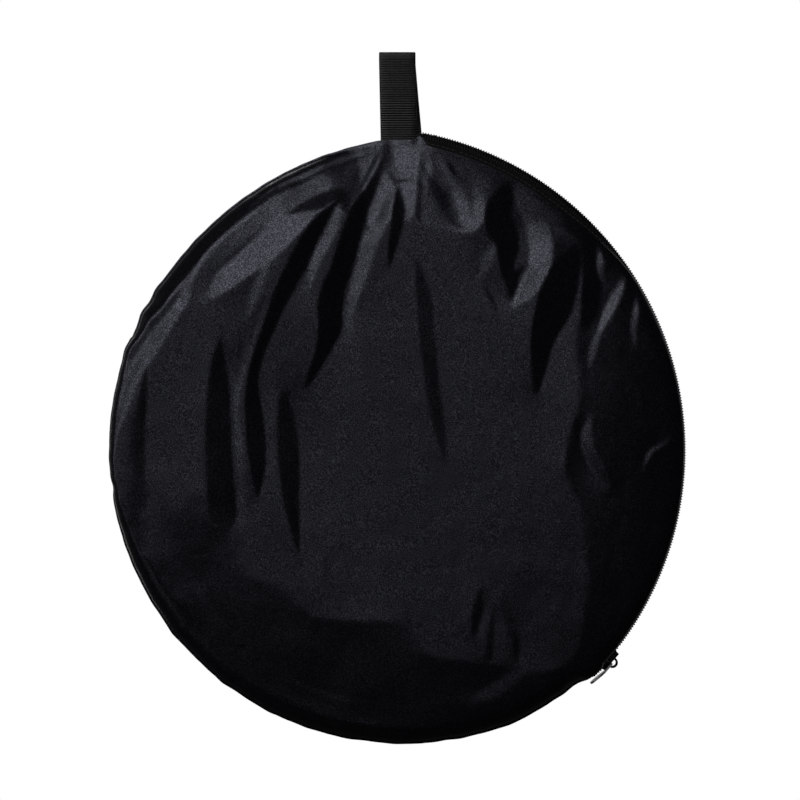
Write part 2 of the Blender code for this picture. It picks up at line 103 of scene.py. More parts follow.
def ray_to_circle(angle, centre, radius):
    """How far from the bag's centre a ray at this angle leaves the circle."""
    dx, dz = BAG_CENTRE[0] - centre[0], BAG_CENTRE[1] - centre[1]
    along = dx * np.sin(np.radians(angle)) + dz * np.cos(np.radians(angle))
    return -along + np.sqrt(along * along - (dx * dx + dz * dz - radius * radius))


def rim_radius(angle):
    """Three arcs: the zip side, the bottom, and the upper left, level under the loop."""
    angle = np.asarray(angle) % 360
    found = np.where(angle < LOW_FROM, ray_to_circle(angle, ZIP_CENTRE, ZIP_RADIUS),
                     np.where(angle < LEFT_FROM, ray_to_circle(angle, LOW_CENTRE, LOW_RADIUS),
                              ray_to_circle(angle, LEFT_CENTRE, LEFT_RADIUS)))
    right = smooth((angle - UNDER_LOOP) / PAST_LOOP)
    left = smooth((360 - angle - UNDER_LOOP) / PAST_LOOP)
    return TOP_RADIUS + (found - TOP_RADIUS) * right * left


def rim_angle(zip_angle):
    """The angle round the bag's rim of a point on the zip's arc."""
    point = at(ZIP_CENTRE, ZIP_RADIUS, zip_angle)
    return degrees(atan2(point.x - BAG_CENTRE[0], point.z - BAG_CENTRE[1])) % 360


ZIP_FROM = rim_angle(ZIP_START)
ZIP_TO = rim_angle(ZIP_END)
BLEND_AT_LOOP = 1.7  # degrees over which the zip's wide rim closes to a plain seam
BLEND_AT_END = 2.6


def zip_share(angle, full_from=ZIP_FROM, blend=BLEND_AT_LOOP):
    """1 along the zip, 0 along the plain seam."""
    angle = np.asarray(angle) % 360
    angle = np.where(angle > 180 + ZIP_TO / 2, angle - 360, angle)
    before = np.maximum(full_from - angle, 0.0) / blend
    after = np.maximum(angle - ZIP_TO, 0.0) / BLEND_AT_END
    return 1 - smooth(np.maximum(before, after))


SEAM_HALF = 0.00045
RISE_TO = 6.8  # the cloth's edge rises to the tape slowly, from under the loop to this angle
RISE = 8.5
LOOP_ROOM = 0.0019  # the cloth stands off the middle plane this far where the loop goes in
LOOP_ROOM_TO = 3.2  # degrees from the top where that room starts to close, and over how many
LOOP_ROOM_CLOSES = 2.6


def edge_height(angle):
    """How far from the middle plane the cloth's edge lies."""
    from_top = np.minimum(np.asarray(angle) % 360, 360 - np.asarray(angle) % 360)
    room = 1 - smooth((from_top - LOOP_ROOM_TO) / LOOP_ROOM_CLOSES)
    seam = SEAM_HALF + (LOOP_ROOM - SEAM_HALF) * room
    return seam + (TAPE_EDGE_Y - seam) * zip_share(angle, RISE_TO, RISE)


TAPE_LEAST = 0.0009  # the tape shows this much all along
TAPE_TURNED = 0.0058  # and this much more near the loop, where the zip is turned to the front
TAPE_AWAY_AT = 56.0  # degrees where it has turned away, and over how many
TAPE_AWAY_OVER = 24.0


def tape_show(angle):
    """How far in from the rim the zip tape reaches, so that it is seen beside the cloth."""
    turned = smooth((TAPE_AWAY_AT - np.asarray(angle)) / TAPE_AWAY_OVER)
    opened = smooth((np.asarray(angle) - ZIP_FROM - 0.2) / 2.4)
    return zip_share(angle) * (TAPE_LEAST + TAPE_TURNED * turned * opened)


# ---- the lie of the cloth, in millimetres: x to the right, d down from the top seam ----
STEP = 1.0
SPAN_X = (-168.0, 168.0)
SPAN_D = (-6.0, 338.0)
CENTRE_D = 168.0
CARRY = 110.0  # how far a change of level is carried


def cloth_grid():
    across = np.arange(SPAN_X[0], SPAN_X[1] + STEP / 2, STEP)
    down = np.arange(SPAN_D[0], SPAN_D[1] + STEP / 2, STEP)
    return np.meshgrid(across, down)


def through(points, spacing=1.5):
    """A smooth curve through given points, with their widths."""
    given = np.array(points, float)
    given = np.vstack([2 * given[0] - given[1], given, 2 * given[-1] - given[-2]])
    line = []
    for before, start, end, after in zip(given, given[1:], given[2:], given[3:]):
        count = max(2, int(hypot(*(end - start)[:2]) / spacing))
        for t in np.arange(count) / count:
            line.append(0.5 * (2 * start + (end - before) * t
                               + (2 * before - 5 * start + 4 * end - after) * t ** 2
                               + (3 * start - before - 3 * end + after) * t ** 3))
    line.append(given[-2])
    return np.array(line)


def nearest_on(line, x, d):
    """For each grid point: distance to the line, the half width there, and the way across it."""
    best = np.full(x.shape, 1e9)
    half, across, down = np.zeros((3,) + x.shape)
    for (x0, d0, w0), (x1, d1, w1) in zip(line, line[1:]):
        run, fall = x1 - x0, d1 - d0
        length = hypot(run, fall)
        t = np.clip(((x - x0) * run + (d - d0) * fall) / length ** 2, 0, 1)
        distance = np.hypot(x - x0 - t * run, d - d0 - t * fall)
        closer = distance < best
        best[closer] = distance[closer]
        half[closer] = (w0 + t * (w1 - w0))[closer]
        across[closer] = fall / length
        down[closer] = -run / length
    return best, half, across, down


RIGHT, LEFT = 1, -1  # which side of a fold that runs down the cloth faces


def lay(lean, x, d, fold):
    """Leans the cloth along one fold. A fold faces RIGHT, LEFT, or a direction (x, d)."""
    facing, tilt, edge, points = fold
    line = through(points)
    near = line[:, 2].max() + 3
    rows = np.flatnonzero((d[:, 0] > line[:, 1].min() - near) & (d[:, 0] < line[:, 1].max() + near))
    columns = np.flatnonzero((x[0] > line[:, 0].min() - near) & (x[0] < line[:, 0].max() + near))
    part = (slice(rows[0], rows[-1] + 1), slice(columns[0], columns[-1] + 1))
    distance, half, across, down = nearest_on(line, x[part], d[part])
    if isinstance(facing, tuple):
        across, down = np.array(facing) / hypot(*facing)
        facing = 1
    share = smooth((half - distance) / edge + 0.5) * (half > 0.15)
    slope = facing * tan(radians(tilt))
    lean[0][part] += (-slope * across - lean[0][part]) * share
    lean[1][part] += (-slope * down - lean[1][part]) * share


def distance_outside(x, d, outline):
    """Signed distance outside a closed outline of straight stretches."""
    best = np.full(x.shape, 1e9)
    inside = np.zeros(x.shape, bool)
    for (x0, d0), (x1, d1) in zip(outline, outline[1:] + outline[:1]):
        run, fall = x1 - x0, d1 - d0
        t = np.clip(((x - x0) * run + (d - d0) * fall) / (run * run + fall * fall), 0, 1)
        best = np.minimum(best, np.hypot(x - x0 - t * run, d - d0 - t * fall))
        if fall:
            inside ^= ((d0 > d) != (d1 > d)) & (x < (d - d0) * run / fall + x0)
    return np.where(inside, -best, best)


def relax(lean):
    """The surface whose slopes come nearest to the leans, by mirrored Fourier series."""
    def mirrored(slopes, sign_x, sign_d):
        wide = np.concatenate([slopes, sign_x * slopes[:, ::-1]], axis=1)
        return np.concatenate([wide, sign_d * wide[::-1]], axis=0)

    lean_x = np.fft.fft2(mirrored(lean[0], -1, 1))
    lean_d = np.fft.fft2(mirrored(lean[1], 1, -1))
    wave_d = 2 * pi * np.fft.fftfreq(lean_x.shape[0], STEP)[:, None]
    wave_x = 2 * pi * np.fft.fftfreq(lean_x.shape[1], STEP)[None, :]
    level = -1j * (wave_x * lean_x + wave_d * lean_d) / (wave_x ** 2 + wave_d ** 2 + CARRY ** -2)
    rows, columns = lean[0].shape
    return np.fft.ifft2(level).real[:rows, :columns]


def soften(level, reach):
    """The same surface with everything smaller than this reach smoothed away."""
    wide = np.concatenate([level, level[:, ::-1]], axis=1)
    wide = np.concatenate([wide, wide[::-1]], axis=0)
    wave_d = 2 * pi * np.fft.fftfreq(wide.shape[0], STEP)[:, None]
    wave_x = 2 * pi * np.fft.fftfreq(wide.shape[1], STEP)[None, :]
    kept = np.exp(-(wave_x ** 2 + wave_d ** 2) * reach ** 2 / 2)
    return np.fft.ifft2(np.fft.fft2(wide) * kept).real[:level.shape[0], :level.shape[1]]


def ripples(x, d, seed, height, length, count=24):
    """Faint unevenness: waves of about this length in every direction."""
    rng = np.random.default_rng(seed)
    total = np.zeros(x.shape)
    for turn, phase, stretch in rng.random((count, 3)):
        wave = 2 * pi / (length * (0.7 + 0.8 * stretch))
        total += np.sin(wave * (x * cos(2 * pi * turn) + d * sin(2 * pi * turn)) + 2 * pi * phase)
    return height * total / count ** 0.5


# the part of the front that lies nearly flat over the reflector; outside it the cloth falls away
FRONT_FLAT = [
    (101, 45), (98, 62), (101, 85), (95, 112), (98, 134), (97, 150), (93, 160), (90, 172), (92, 186),
    (98, 200), (101, 222), (103, 245), (99, 262), (98, 276), (92, 286), (80, 290), (60, 287), (40, 284),
    (22, 282), (11, 277), (6, 267), (0, 261), (-20, 262), (-47, 260), (-56, 252), (-61, 243), (-78, 240),
    (-86, 230), (-88, 190), (-104, 190), (-112, 194), (-119, 206), (-126, 196), (-135, 180), (-136, 158),
    (-132, 137), (-140, 122), (-150, 90), (-150, 20), (-100, -5), (101, -5),
]

# (faces, tilt in degrees, softness of its edges, [(x, d, half width), ...])
FRONT_FOLDS = [
    # the yoke under the loop, and the lit cloth beside it
    ((1, 0.6), 5, 3, [(-4, -3, 12), (-2, 8, 12), (3, 18, 11), (6, 23, 7)]),
    # thin gathers between the loop and the rim
    (RIGHT, 10, 1, [(-16, 6.5, 0.6), (-30, 11, 1.6), (-46, 17, 2), (-58, 22, 2), (-67, 28, 1)]),
    (LEFT, 22, 0.8, [(-12, 6, 0.8), (-24, 11, 1), (-38, 16, 1.1), (-52, 23, 1.1), (-64, 30, 1.2)]),
    (RIGHT, 20, 0.8, [(-39, 26, 0.5), (-37, 21, 1.3), (-33, 17, 1.2), (-30, 15, 0.3)]),
    (RIGHT, 20, 0.8, [(-28, 17, 0.3), (-26, 12, 1), (-24, 9, 0.3)]),
    (LEFT, 24, 0.8, [(-9, 5, 1), (-14, 14, 1.4), (-20, 26, 1.8), (-26, 36, 1.4)]),
    # the deep gathers left of the loop
    (RIGHT, 26, 1, [(-9, 11, 0.5), (-11, 18, 1.8), (-14, 26, 2.6), (-18, 34, 3.4), (-22, 42, 4.2),
        (-25, 52, 4.8), (-28, 62, 5.2), (-31, 72, 5.4), (-35, 82, 6), (-37, 92, 6.8), (-37, 102, 6.4),
        (-39, 110, 4.8), (-42, 118, 3.2), (-46, 127, 2), (-50, 135, 0.3)]),
    (LEFT, 22, 1, [(-8, 20, 0.8), (-5, 28, 2.6), (-7, 40, 3.4), (-12, 50, 4.4), (-16, 58, 5),
        (-18, 66, 4.4), (-21, 76, 3.8), (-24, 85, 3.2), (-25, 92, 2)]),
    (LEFT, 11, 2, [(-26, 94, 2), (-26, 108, 3.6), (-23, 124, 3), (-20, 138, 1)]),
    (RIGHT, 21, 1, [(0, 27, 1.2), (0, 38, 3.4), (-1, 48, 3), (-3, 58, 2.2), (-5, 69, 0.6)]),
    (RIGHT, 25, 1, [(-32, 33, 1), (-37, 37, 2.8), (-42, 45, 3.8), (-47, 54, 4.2), (-52, 64, 4.6),
        (-57, 74, 4.8), (-62, 84, 4.4), (-66, 92, 4), (-70, 102, 3.4), (-74, 112, 3), (-77, 122, 2.6),
        (-79, 132, 2.8), (-79, 142, 4), (-78, 152, 5), (-77, 166, 5.4), (-76, 180, 4), (-76, 194, 0.3)]),
    (LEFT, 22, 1, [(-32, 38, 1.2), (-35, 46, 2.8), (-38, 54, 3), (-42, 62, 3), (-46, 71, 2.4),
        (-48, 82, 1)]),
    (LEFT, 13, 1, [(-69, 88, 0.5), (-76, 105, 1.8), (-82, 122, 2), (-87, 138, 2.2), (-88, 152, 2),
        (-86, 170, 3.4), (-85, 190, 3), (-84, 206, 1)]),
    # the broad lobe and the long ridge at the upper left
    (LEFT, 21, 1.2, [(-35, 31, 3.5), (-46, 38, 5), (-56, 46, 6.5), (-66, 54, 8), (-76, 62, 8.5),
        (-86, 71, 7.5), (-94, 79, 5.5), (-99, 85, 3)]),
    (LEFT, 24, 1, [(-64, 62, 1), (-74, 69, 2), (-86, 76, 2.4), (-95, 83, 2.4)]),
    (LEFT, 20, 1.4, [(-71, 70, 1.5), (-75, 80, 3), (-79, 90, 2.6), (-81, 98, 0.5)]),
    (RIGHT, 7, 1.5, [(-50, 25, 1.5), (-60, 33, 4), (-72, 43, 5), (-84, 53, 5.5), (-96, 65, 5),
        (-104, 74, 3)]),
    (LEFT, 24, 1, [(-58, 24, 1), (-68, 29.5, 1.4), (-81, 40, 1.9), (-95, 51, 2.3), (-106, 62, 2.5),
        (-113, 75, 2.5), (-116, 88, 2.8), (-122, 97, 3.4), (-131, 110, 4.6), (-138, 121, 5),
        (-144, 130, 5.4), (-148, 138, 6.4), (-151, 148, 6), (-155, 160, 4), (-157, 174, 2.4),
        (-158, 188, 1)]),
    (LEFT, 42, 1, [(-76, 29.5, 1), (-83, 35, 2.2), (-92, 44, 2.9), (-105, 56, 3.7), (-116, 69, 4.6),
        (-125, 81, 5.2), (-132, 91, 4.8), (-138, 99, 2.6)]),
    (LEFT, 22, 0.8, [(-127, 88, 0.5), (-129, 92, 1.3), (-131, 97, 1)]),
    (RIGHT, 12, 0.8, [(-141, 105, 0.5), (-142, 110, 1), (-146, 116, 0.8)]),
    # hanging folds at the left
    (RIGHT, 20, 1.4, [(-136, 125, 1), (-137, 136, 2), (-139, 148, 3.4), (-142, 160, 6), (-143, 176, 7),
        (-143, 192, 7.5), (-142, 206, 8), (-138, 220, 7)]),
    (RIGHT, 20, 1.6, [(-96, 110, 1), (-97, 124, 4.2), (-97, 138, 6.2), (-97, 152, 7.2), (-97, 168, 7.6),
        (-96, 186, 7.6), (-95, 204, 8)]),
    (RIGHT, 9, 1.5, [(-85, 103, 0.5), (-85, 110, 2.2), (-85, 118, 0.5)]),
    (RIGHT, 19, 1.4, [(-62, 142, 3), (-61, 152, 5), (-60, 166, 6), (-59, 182, 5.6), (-58, 198, 4),
        (-56, 212, 2.6), (-54, 224, 0.3)]),
    (RIGHT, 11, 2.5, [(10, 66, 0.6), (12, 78, 3), (14, 90, 4.2), (15, 105, 4.6), (17, 122, 4.2),
        (19, 140, 4), (22, 156, 3.4), (25, 172, 1.5)]),
    # the tucked lobe right of the loop
    (RIGHT, 9, 1, [(11, 4, 0.8), (14, 14, 1.4), (17, 22, 2), (23, 32, 3.4), (27, 38, 2)]),
    ((-0.8, -1), 22, 0.8, [(-1, 24, 1.2), (5, 22.5, 1.3), (11, 25, 1.4), (16, 30, 1.2), (21, 36.5, 1),
        (27, 42, 1)]),
    ((-0.6, -1), 24, 1, [(27, 43, 1), (31, 48, 1.8), (37, 50, 2.4), (42, 47, 3), (44, 40, 3),
        (43, 31, 2.4), (40, 22, 1.8), (35, 14, 1.4), (29, 9, 1)]),
    ((-1, -0.6), 21, 1, [(19, 6, 1.2), (24, 15, 1.6), (30, 26, 2), (34, 36, 2.6), (37, 45, 3)]),
    ((-1, -0.4), 20, 1, [(12, 6, 1.2), (15, 12, 1.8), (18, 20, 1)]),
    (RIGHT, 20, 0.7, [(25, 11, 0.3), (29, 17, 1.1), (31, 21, 0.3)]),
    # the hollow and the crescent beside it
    ((1, 0.5), 24, 1.1, [(65, 22, 2), (60, 29, 4.2), (55, 37, 6.2), (54, 45, 7), (57, 53, 7.5),
        (59, 61, 5.5), (58, 69, 3.6), (61, 77, 4.2), (61, 85, 1.2)]),
    ((1, 0.8), 22, 0.9, [(60, 75, 2), (65, 73, 2.2), (69, 71, 0.8)]),
    ((-1, -0.7), 17, 2, [(82, 42, 2), (90, 46, 3), (99, 49, 2)]),
    ((-1, -0.7), 23, 1.2, [(64, 29, 2), (68, 37, 3.6), (74, 46, 5.6), (77, 56, 6.4), (77, 66, 6),
        (74, 75, 5.5), (69, 84, 4.6), (64, 89, 2)]),
    ((-1, -0.4), 18, 2, [(51, 60, 2), (48, 67, 3.2), (45, 75, 1.6)]),
    (RIGHT, 14, 1, [(45, 79, 0.6), (50, 88, 1.5), (55, 98, 0.4)]),
    # the deep wedge and the small tucks towards the zip
    ((1, 0.25), 24, 1.1, [(96, 62, 3), (91, 72, 7.5), (87, 82, 9.5), (84, 92, 10), (80, 102, 8),
        (77, 112, 6), (76, 122, 4.5), (75, 132, 2.5), (75, 138, 0.5)]),
    ((1, 0.25), 24, 1.1, [(104, 53, 3), (104, 64, 4), (105, 76, 5), (104, 88, 5), (102, 100, 3)]),
    ((-0.5, -1), 20, 1, [(108, 56, 1.5), (112, 60, 3.2), (117, 64, 1)]),
    ((-1, -0.3), 22, 0.8, [(109, 62, 1.2), (109, 69, 1.6), (110, 77, 0.5)]),
    ((1, 0.3), 24, 0.9, [(112, 70, 1.2), (116, 70, 3.2), (120, 73, 2.4)]),
    ((-1, -0.6), 25, 0.8, [(123, 77, 1), (119, 84, 2.2), (115, 92, 2.6), (111, 100, 1.8),
        (109, 105, 0.6)]),
    ((-1, -0.4), 12, 1, [(109, 105, 0.5), (106, 112, 2), (104, 120, 1.6), (103, 125, 0.3)]),
    ((-1, -0.5), 25, 0.8, [(131, 82, 1), (130, 89, 2), (128, 98, 1.3), (127, 105, 1), (128, 112, 0.3)]),
    ((-1, -0.7), 22, 0.8, [(139, 97, 1), (135, 102, 1)]),
    # the crease at the right
    ((1, 0.3), 16, 1, [(97, 151, 0.5), (96, 157, 2), (97, 163, 0.5)]),
    ((-1, -0.4), 20, 1, [(103, 153, 1), (101, 162, 2.8), (103, 171, 2.8), (108, 180, 2.6),
        (114, 188, 1)]),
    ((1, 0.6), 20, 1.1, [(91, 171, 0.6), (93, 180, 3.4), (99, 188, 4), (108, 193, 2.4), (114, 195, 0.6)]),
    ((-0.8, -1), 22, 0.8, [(133, 178, 0.4), (136, 171, 1.6), (142, 167, 1.5), (150, 163, 0.4)]),
    # slack at the bottom
    (RIGHT, 14, 1.4, [(44, 246, 0.6), (43, 255, 3), (41, 268, 1.4)]),
    ((1, 0.6), 14, 1.2, [(55, 251, 1), (60, 261, 2.8), (63, 272, 2.4), (64, 284, 0.6)]),
    (RIGHT, 10, 1.4, [(51, 256, 0.5), (50, 268, 2), (49, 282, 1)]),
    (RIGHT, 6, 3, [(-40, 228, 1), (-38, 240, 4), (-30, 250, 3)]),
    ((0.6, 1), 13, 6, [(-136, 208, 4), (-128, 224, 8), (-118, 240, 9), (-106, 256, 6)]),
    ((-0.4, -1), 2, 5, [(-26, 275, 3), (-30, 292, 6), (-33, 312, 4)]),
    ((-0.4, -1), 2, 4, [(66, 288, 4), (56, 297, 5), (42, 305, 3)]),
]

BACK_FLAT = [
    (96, 60), (104, 120), (100, 190), (84, 250), (40, 282), (-20, 286), (-74, 262), (-108, 214),
    (-122, 150), (-112, 90), (-80, 40), (-30, 8), (30, 8), (70, 30),
]

BACK_FOLDS = [
    ((0, -1), 24, 3, [(-2, -2, 12), (0, 10, 12), (2, 20, 10)]),
    (RIGHT, 22, 1.4, [(-8, 16, 0.4), (-16, 40, 3.6), (-26, 72, 5.5), (-32, 104, 4), (-36, 136, 0)]),
    (LEFT, 20, 1.4, [(6, 18, 0.4), (10, 44, 3.4), (20, 76, 5), (26, 112, 3.4), (30, 150, 0)]),
    (RIGHT, 18, 1.4, [(16, 12, 0.4), (36, 38, 4), (52, 72, 5.4), (60, 110, 4), (62, 150, 0)]),
    (LEFT, 20, 1.4, [(-20, 12, 0.4), (-44, 40, 4), (-64, 76, 5), (-76, 118, 3.4), (-80, 160, 0)]),
    (RIGHT, 20, 1.4, [(-40, 16, 0.5), (-72, 44, 5), (-98, 84, 6), (-112, 126, 4), (-118, 160, 0)]),
    (LEFT, 18, 1.4, [(40, 16, 0.4), (74, 44, 4), (96, 80, 4.6), (106, 120, 0)]),
    (RIGHT, 16, 1.8, [(-2, 120, 0.5), (2, 160, 4), (4, 206, 3.6), (2, 240, 0)]),
    (LEFT, 14, 1.8, [(-52, 150, 0.5), (-56, 190, 5), (-50, 232, 4), (-42, 262, 0)]),
    (RIGHT, 15, 1.8, [(84, 160, 0.5), (82, 200, 4.6), (70, 240, 3.6), (56, 268, 0)]),
    ((0.6, 1), 12, 1.6, [(-100, 214, 0.6), (-84, 240, 3), (-60, 266, 2.4), (-44, 276, 0)]),
    ((-1, 0.2), 20, 1, [(120, 96, 0.6), (126, 110, 2.2), (126, 124, 0.6)]),
    ((-1, 0.3), 20, 1, [(132, 150, 0.6), (133, 166, 2.4), (130, 182, 0.6)]),
]

HOOP_D = (SEAM_Z - DISC_CENTRE[1]) / MM  # the hoop's centre, mm down from the top seam
HOOP_CLEARANCE = 11.3  # mm the cloth keeps from the middle plane over the reflector's hoop
HOOP_REACH = 9.0  # mm to either side of the hoop where it does so


LEFT_DROP = 100.0  # mm down of the point that slack cloth falls away from, left and right
RIGHT_DROP = 150.0
LEFT_SPREAD = 0.05  # slack cloth at the left hangs down more than it spreads


def face_levels(flat, folds, seed, shed):
    """Height of one bag face over the middle plane, in mm, before its edges roll over.

    Outside its flat part the face leans away by shed degrees, and a little more further out.
    """
    x, d = cloth_grid()
    out = distance_outside(x, d, flat)
    away = smooth(out / 4 + 0.5)
    aside = np.where(x < 0, LEFT_SPREAD * x, x)
    below = d - np.where(x < 0, LEFT_DROP, RIGHT_DROP)
    reach = np.hypot(aside, below) + 1e-6
    slope = np.tan(np.radians(shed * away + 5 * smooth((out - 8) / 50)))
    lean = np.array([-slope * aside / reach, -slope * below / reach])
    lean[0] += (1 - away) * np.tan(np.radians(1.5 + 0.016 * x))
    lean[1] += (1 - away) * np.tan(np.radians(1.0 + 0.03 * (d - CENTRE_D)))
    for fold in folds:
        lay(lean, x, d, fold)
    level = relax(lean)
    middle = np.hypot(x, d - CENTRE_D) < 90
    level += CLOTH_LEVEL - level[middle].mean()
    return level + ripples(x, d, seed, 0.10, 26) + ripples(x, d, seed + 1, 0.03, 9)


def read_grid(level, x, d):
    """Bilinear reading of a cloth grid."""
    column = np.clip((x - SPAN_X[0]) / STEP, 0, level.shape[1] - 1.001)
    row = np.clip((d - SPAN_D[0]) / STEP, 0, level.shape[0] - 1.001)
    c, r = column.astype(int), row.astype(int)
    u, v = column - c, row - r
    top = level[r, c] * (1 - u) + level[r, c + 1] * u
    low = level[r + 1, c] * (1 - u) + level[r + 1, c + 1] * u
    return top * (1 - v) + low * v


SPOKES = 640
EDGE_RINGS = 12
EDGE_ZONE = 13.0  # mm in from the edge that the close rings cover
FOLDS_FROM = 9.0  # mm in from the edge where the folds reach their full depth
COARSE = 14.0  # mm: the reach of the cloth's broad shape, which alone sets how the edge rolls over
PUCKER = 0.14  # mm of puckering along the seam
RINGS = 122
SEAM_LIP = 1.5  # mm of pressed seam at the plain edge
# from its edge each face first turns over in a round roll, and then climbs in a plain slope:
# (angle, mm of roll, mm of slope, share of the climb that the slope makes)
RIM_SECTIONS = [(0, 10, 45, 1), (12, 10, 42, 1), (34, 8, 34, 1), (60, 8, 30, 0), (120, 9, 30, 0),
                (150, 12, 30, 0), (200, 12, 30, 0), (250, 11, 22, 0), (262, 4, 20, 0),
                (290, 4, 20, 0), (302, 10, 30, 0), (318, 8, 20, 0.3), (334, 5, 21, 0.55),
                (345, 6, 30, 0.8), (352, 10, 44, 1), (360, 10, 45, 1)]
# small irregular bumps and nicks in the seam: (angle, mm outwards, half width in degrees)
RIM_MARKS = [(303, 0.9, 2.0), (297.5, 1.2, 2.2), (289.5, 1.0, 2.0), (262, -0.9, 1.4), (230.5, 0.8, 1.6),
             (217, 0.6, 1.4), (206, 0.4, 1.5), (186, -0.5, 2.0), (171, -0.4, 2.0), (158, 0.4, 1.6),
             (149, -1.2, 4.0), (143.5, -1.6, 2.5)]


LEAST_HEIGHT = 9.0  # mm, and less near the edge: how low a fold may dip over the zip and the hoop
LEAST_CLIMB = 0.12  # how fast that height is reached, going in from the edge
MOST_HEIGHT = 24.0  # mm: how far a fold may stand out


def above(height, floor, softness=1.2):
    """The larger of two heights, eased where they meet."""
    return (height + floor + np.sqrt((height - floor) ** 2 + softness ** 2)) / 2


SEEDS = {"front": 5, "back": 11}


def seam_wander(angles, seed):
    """How far the sewn edge wanders from its arc, in mm: uneven scallops and a few bumps."""
    rng = np.random.default_rng(seed)
    wander = sum(0.06 * np.sin(np.radians(angles) * beat + 2 * pi * phase)
                 for beat, phase in zip((37, 61, 83), rng.random(3)))
    for angle, rise, half in RIM_MARKS:
        wander = wander + rise * np.exp(-((angles - angle) / half) ** 2)
    return wander


def cover_points(level, seed):
    """(x, d, height) in mm of a polar net over one face: rings from the edge to the centre."""
    angles = np.arange(SPOKES) * 360 / SPOKES
    radius = (rim_radius(angles) - tape_show(angles)) / MM
    plain = 1 - zip_share(angles)
    radius = radius + seam_wander(angles, seed) * plain
    edge = EDGE_ZONE * (np.arange(EDGE_RINGS) / EDGE_RINGS) ** 1.4
    inner = EDGE_ZONE + (radius[None, :] - EDGE_ZONE) * (np.arange(RINGS) / RINGS)[:, None]
    inset = np.vstack([np.repeat(edge[:, None], SPOKES, axis=1), inner])
    turn = np.radians(angles)[None, :]
    x = (radius - inset) * np.sin(turn)
    d = CENTRE_D - (radius - inset) * np.cos(turn)
    lip = SEAM_LIP * plain[None, :]
    stops, roll, slope, share = (np.array(column, float) for column in zip(*RIM_SECTIONS))
    roll, slope, share = (np.interp(angles, stops, column)[None, :] for column in (roll, slope, share))
    past = np.maximum(inset - lip, 0)
    rolled = np.sqrt(np.maximum(1 - np.clip(1 - past / roll, 0, 1) ** 2.2, 0))
    sloped = 1 - np.clip(1 - past / slope, 0, 1) ** 1.15
    climb = rolled * (1 - share) + sloped * share
    low = edge_height(angles)[None, :] / MM + 0.35 * np.minimum(inset / (lip + 0.01), 1) * plain
    beat = 0.7 + 0.3 * np.sin(turn * 11 + 2) + 0.25 * np.sin(turn * 29)
    pucker = beat * np.sin(turn * 71 + 3 * np.sin(turn * 7)) * np.exp(-((inset - 4) / 4.5) ** 2)
    coarse = read_grid(soften(level, COARSE), x, d)
    height = low + (coarse - low) * climb + PUCKER * pucker * plain
    height += (read_grid(level, x, d) - coarse) * smooth(past / FOLDS_FROM)
    least = np.minimum(low + LEAST_CLIMB * past, LEAST_HEIGHT)
    height = above(height, least, 0.001 + 0.8 * smooth(past / 4))
    hoop = np.hypot(x, d - HOOP_D)
    over_hoop = smooth((HOOP_REACH - np.abs(hoop - HOOP_RADIUS / MM)) / 4) * smooth((inset - 5) / 3)
    height += over_hoop * (above(height, HOOP_CLEARANCE) - height)
    height = -above(-height, -MOST_HEIGHT)
    middle = (0.0, CENTRE_D, float(read_grid(level, np.array(0.0), np.array(CENTRE_D))))
    return np.stack([x, d, height], axis=2).reshape(-1, 3), middle


# ---- mesh helpers ----
def add_mesh(name, points, faces, finish, sharp=40):
    mesh = bpy.data.meshes.new(name)
    mesh.from_pydata([tuple(point) for point in points], [], faces)
    mesh.materials.append(finish)
    mesh.shade_smooth()
    mesh.set_sharp_from_angle(angle=radians(sharp))
    made = bpy.data.objects.new(name, mesh)
    bpy.context.scene.collection.objects.link(made)
    return made


def net_faces(rows, columns, wrap_rows=False, wrap_columns=False):
    """Quads of a net of points stored row by row."""
    faces = []
    for r in range(rows if wrap_rows else rows - 1):
        below = (r + 1) % rows
        for c in range(columns if wrap_columns else columns - 1):
            right = (c + 1) % columns
            faces.append((r * columns + c, r * columns + right,
                          below * columns + right, below * columns + c))
    return faces


def sweep(name, rings, finish, closed=False, sharp=40):
    """A closed skin through rings of equally many points, capped unless it closes on itself."""
    rows, columns = len(rings), len(rings[0])
    faces = net_faces(rows, columns, wrap_rows=closed, wrap_columns=True)
    if not closed:
        faces.append(tuple(range(columns))[::-1])
        faces.append(tuple((rows - 1) * columns + c for c in range(columns)))
    return add_mesh(name, [point for ring in rings for point in ring], faces, finish, sharp)


def ring(centre, first, second, count, start=0.0):
    """Points round an ellipse that has these two half axes."""
    turns = [radians(start + 360 * k / count) for k in range(count)]
    return [centre + first * cos(turn) + second * sin(turn) for turn in turns]


def many(name, shells, finish, sharp=40):
    """Many small closed shells, each a list of rings, as one piece."""
    points, faces = [], []
    for rings in shells:
        base, columns = len(points), len(rings[0])
        points += [point for ring in rings for point in ring]
        quads = net_faces(len(rings), columns, wrap_columns=True)
        caps = [tuple(range(columns))[::-1], tuple((len(rings) - 1) * columns + c for c in range(columns))]
        faces += [tuple(base + k for k in face) for face in quads + caps]
    return add_mesh(name, points, faces, finish, sharp)


# ---- materials ----
WAVES_PER_RIB = 0.31  # the wave texture's scale for one rib


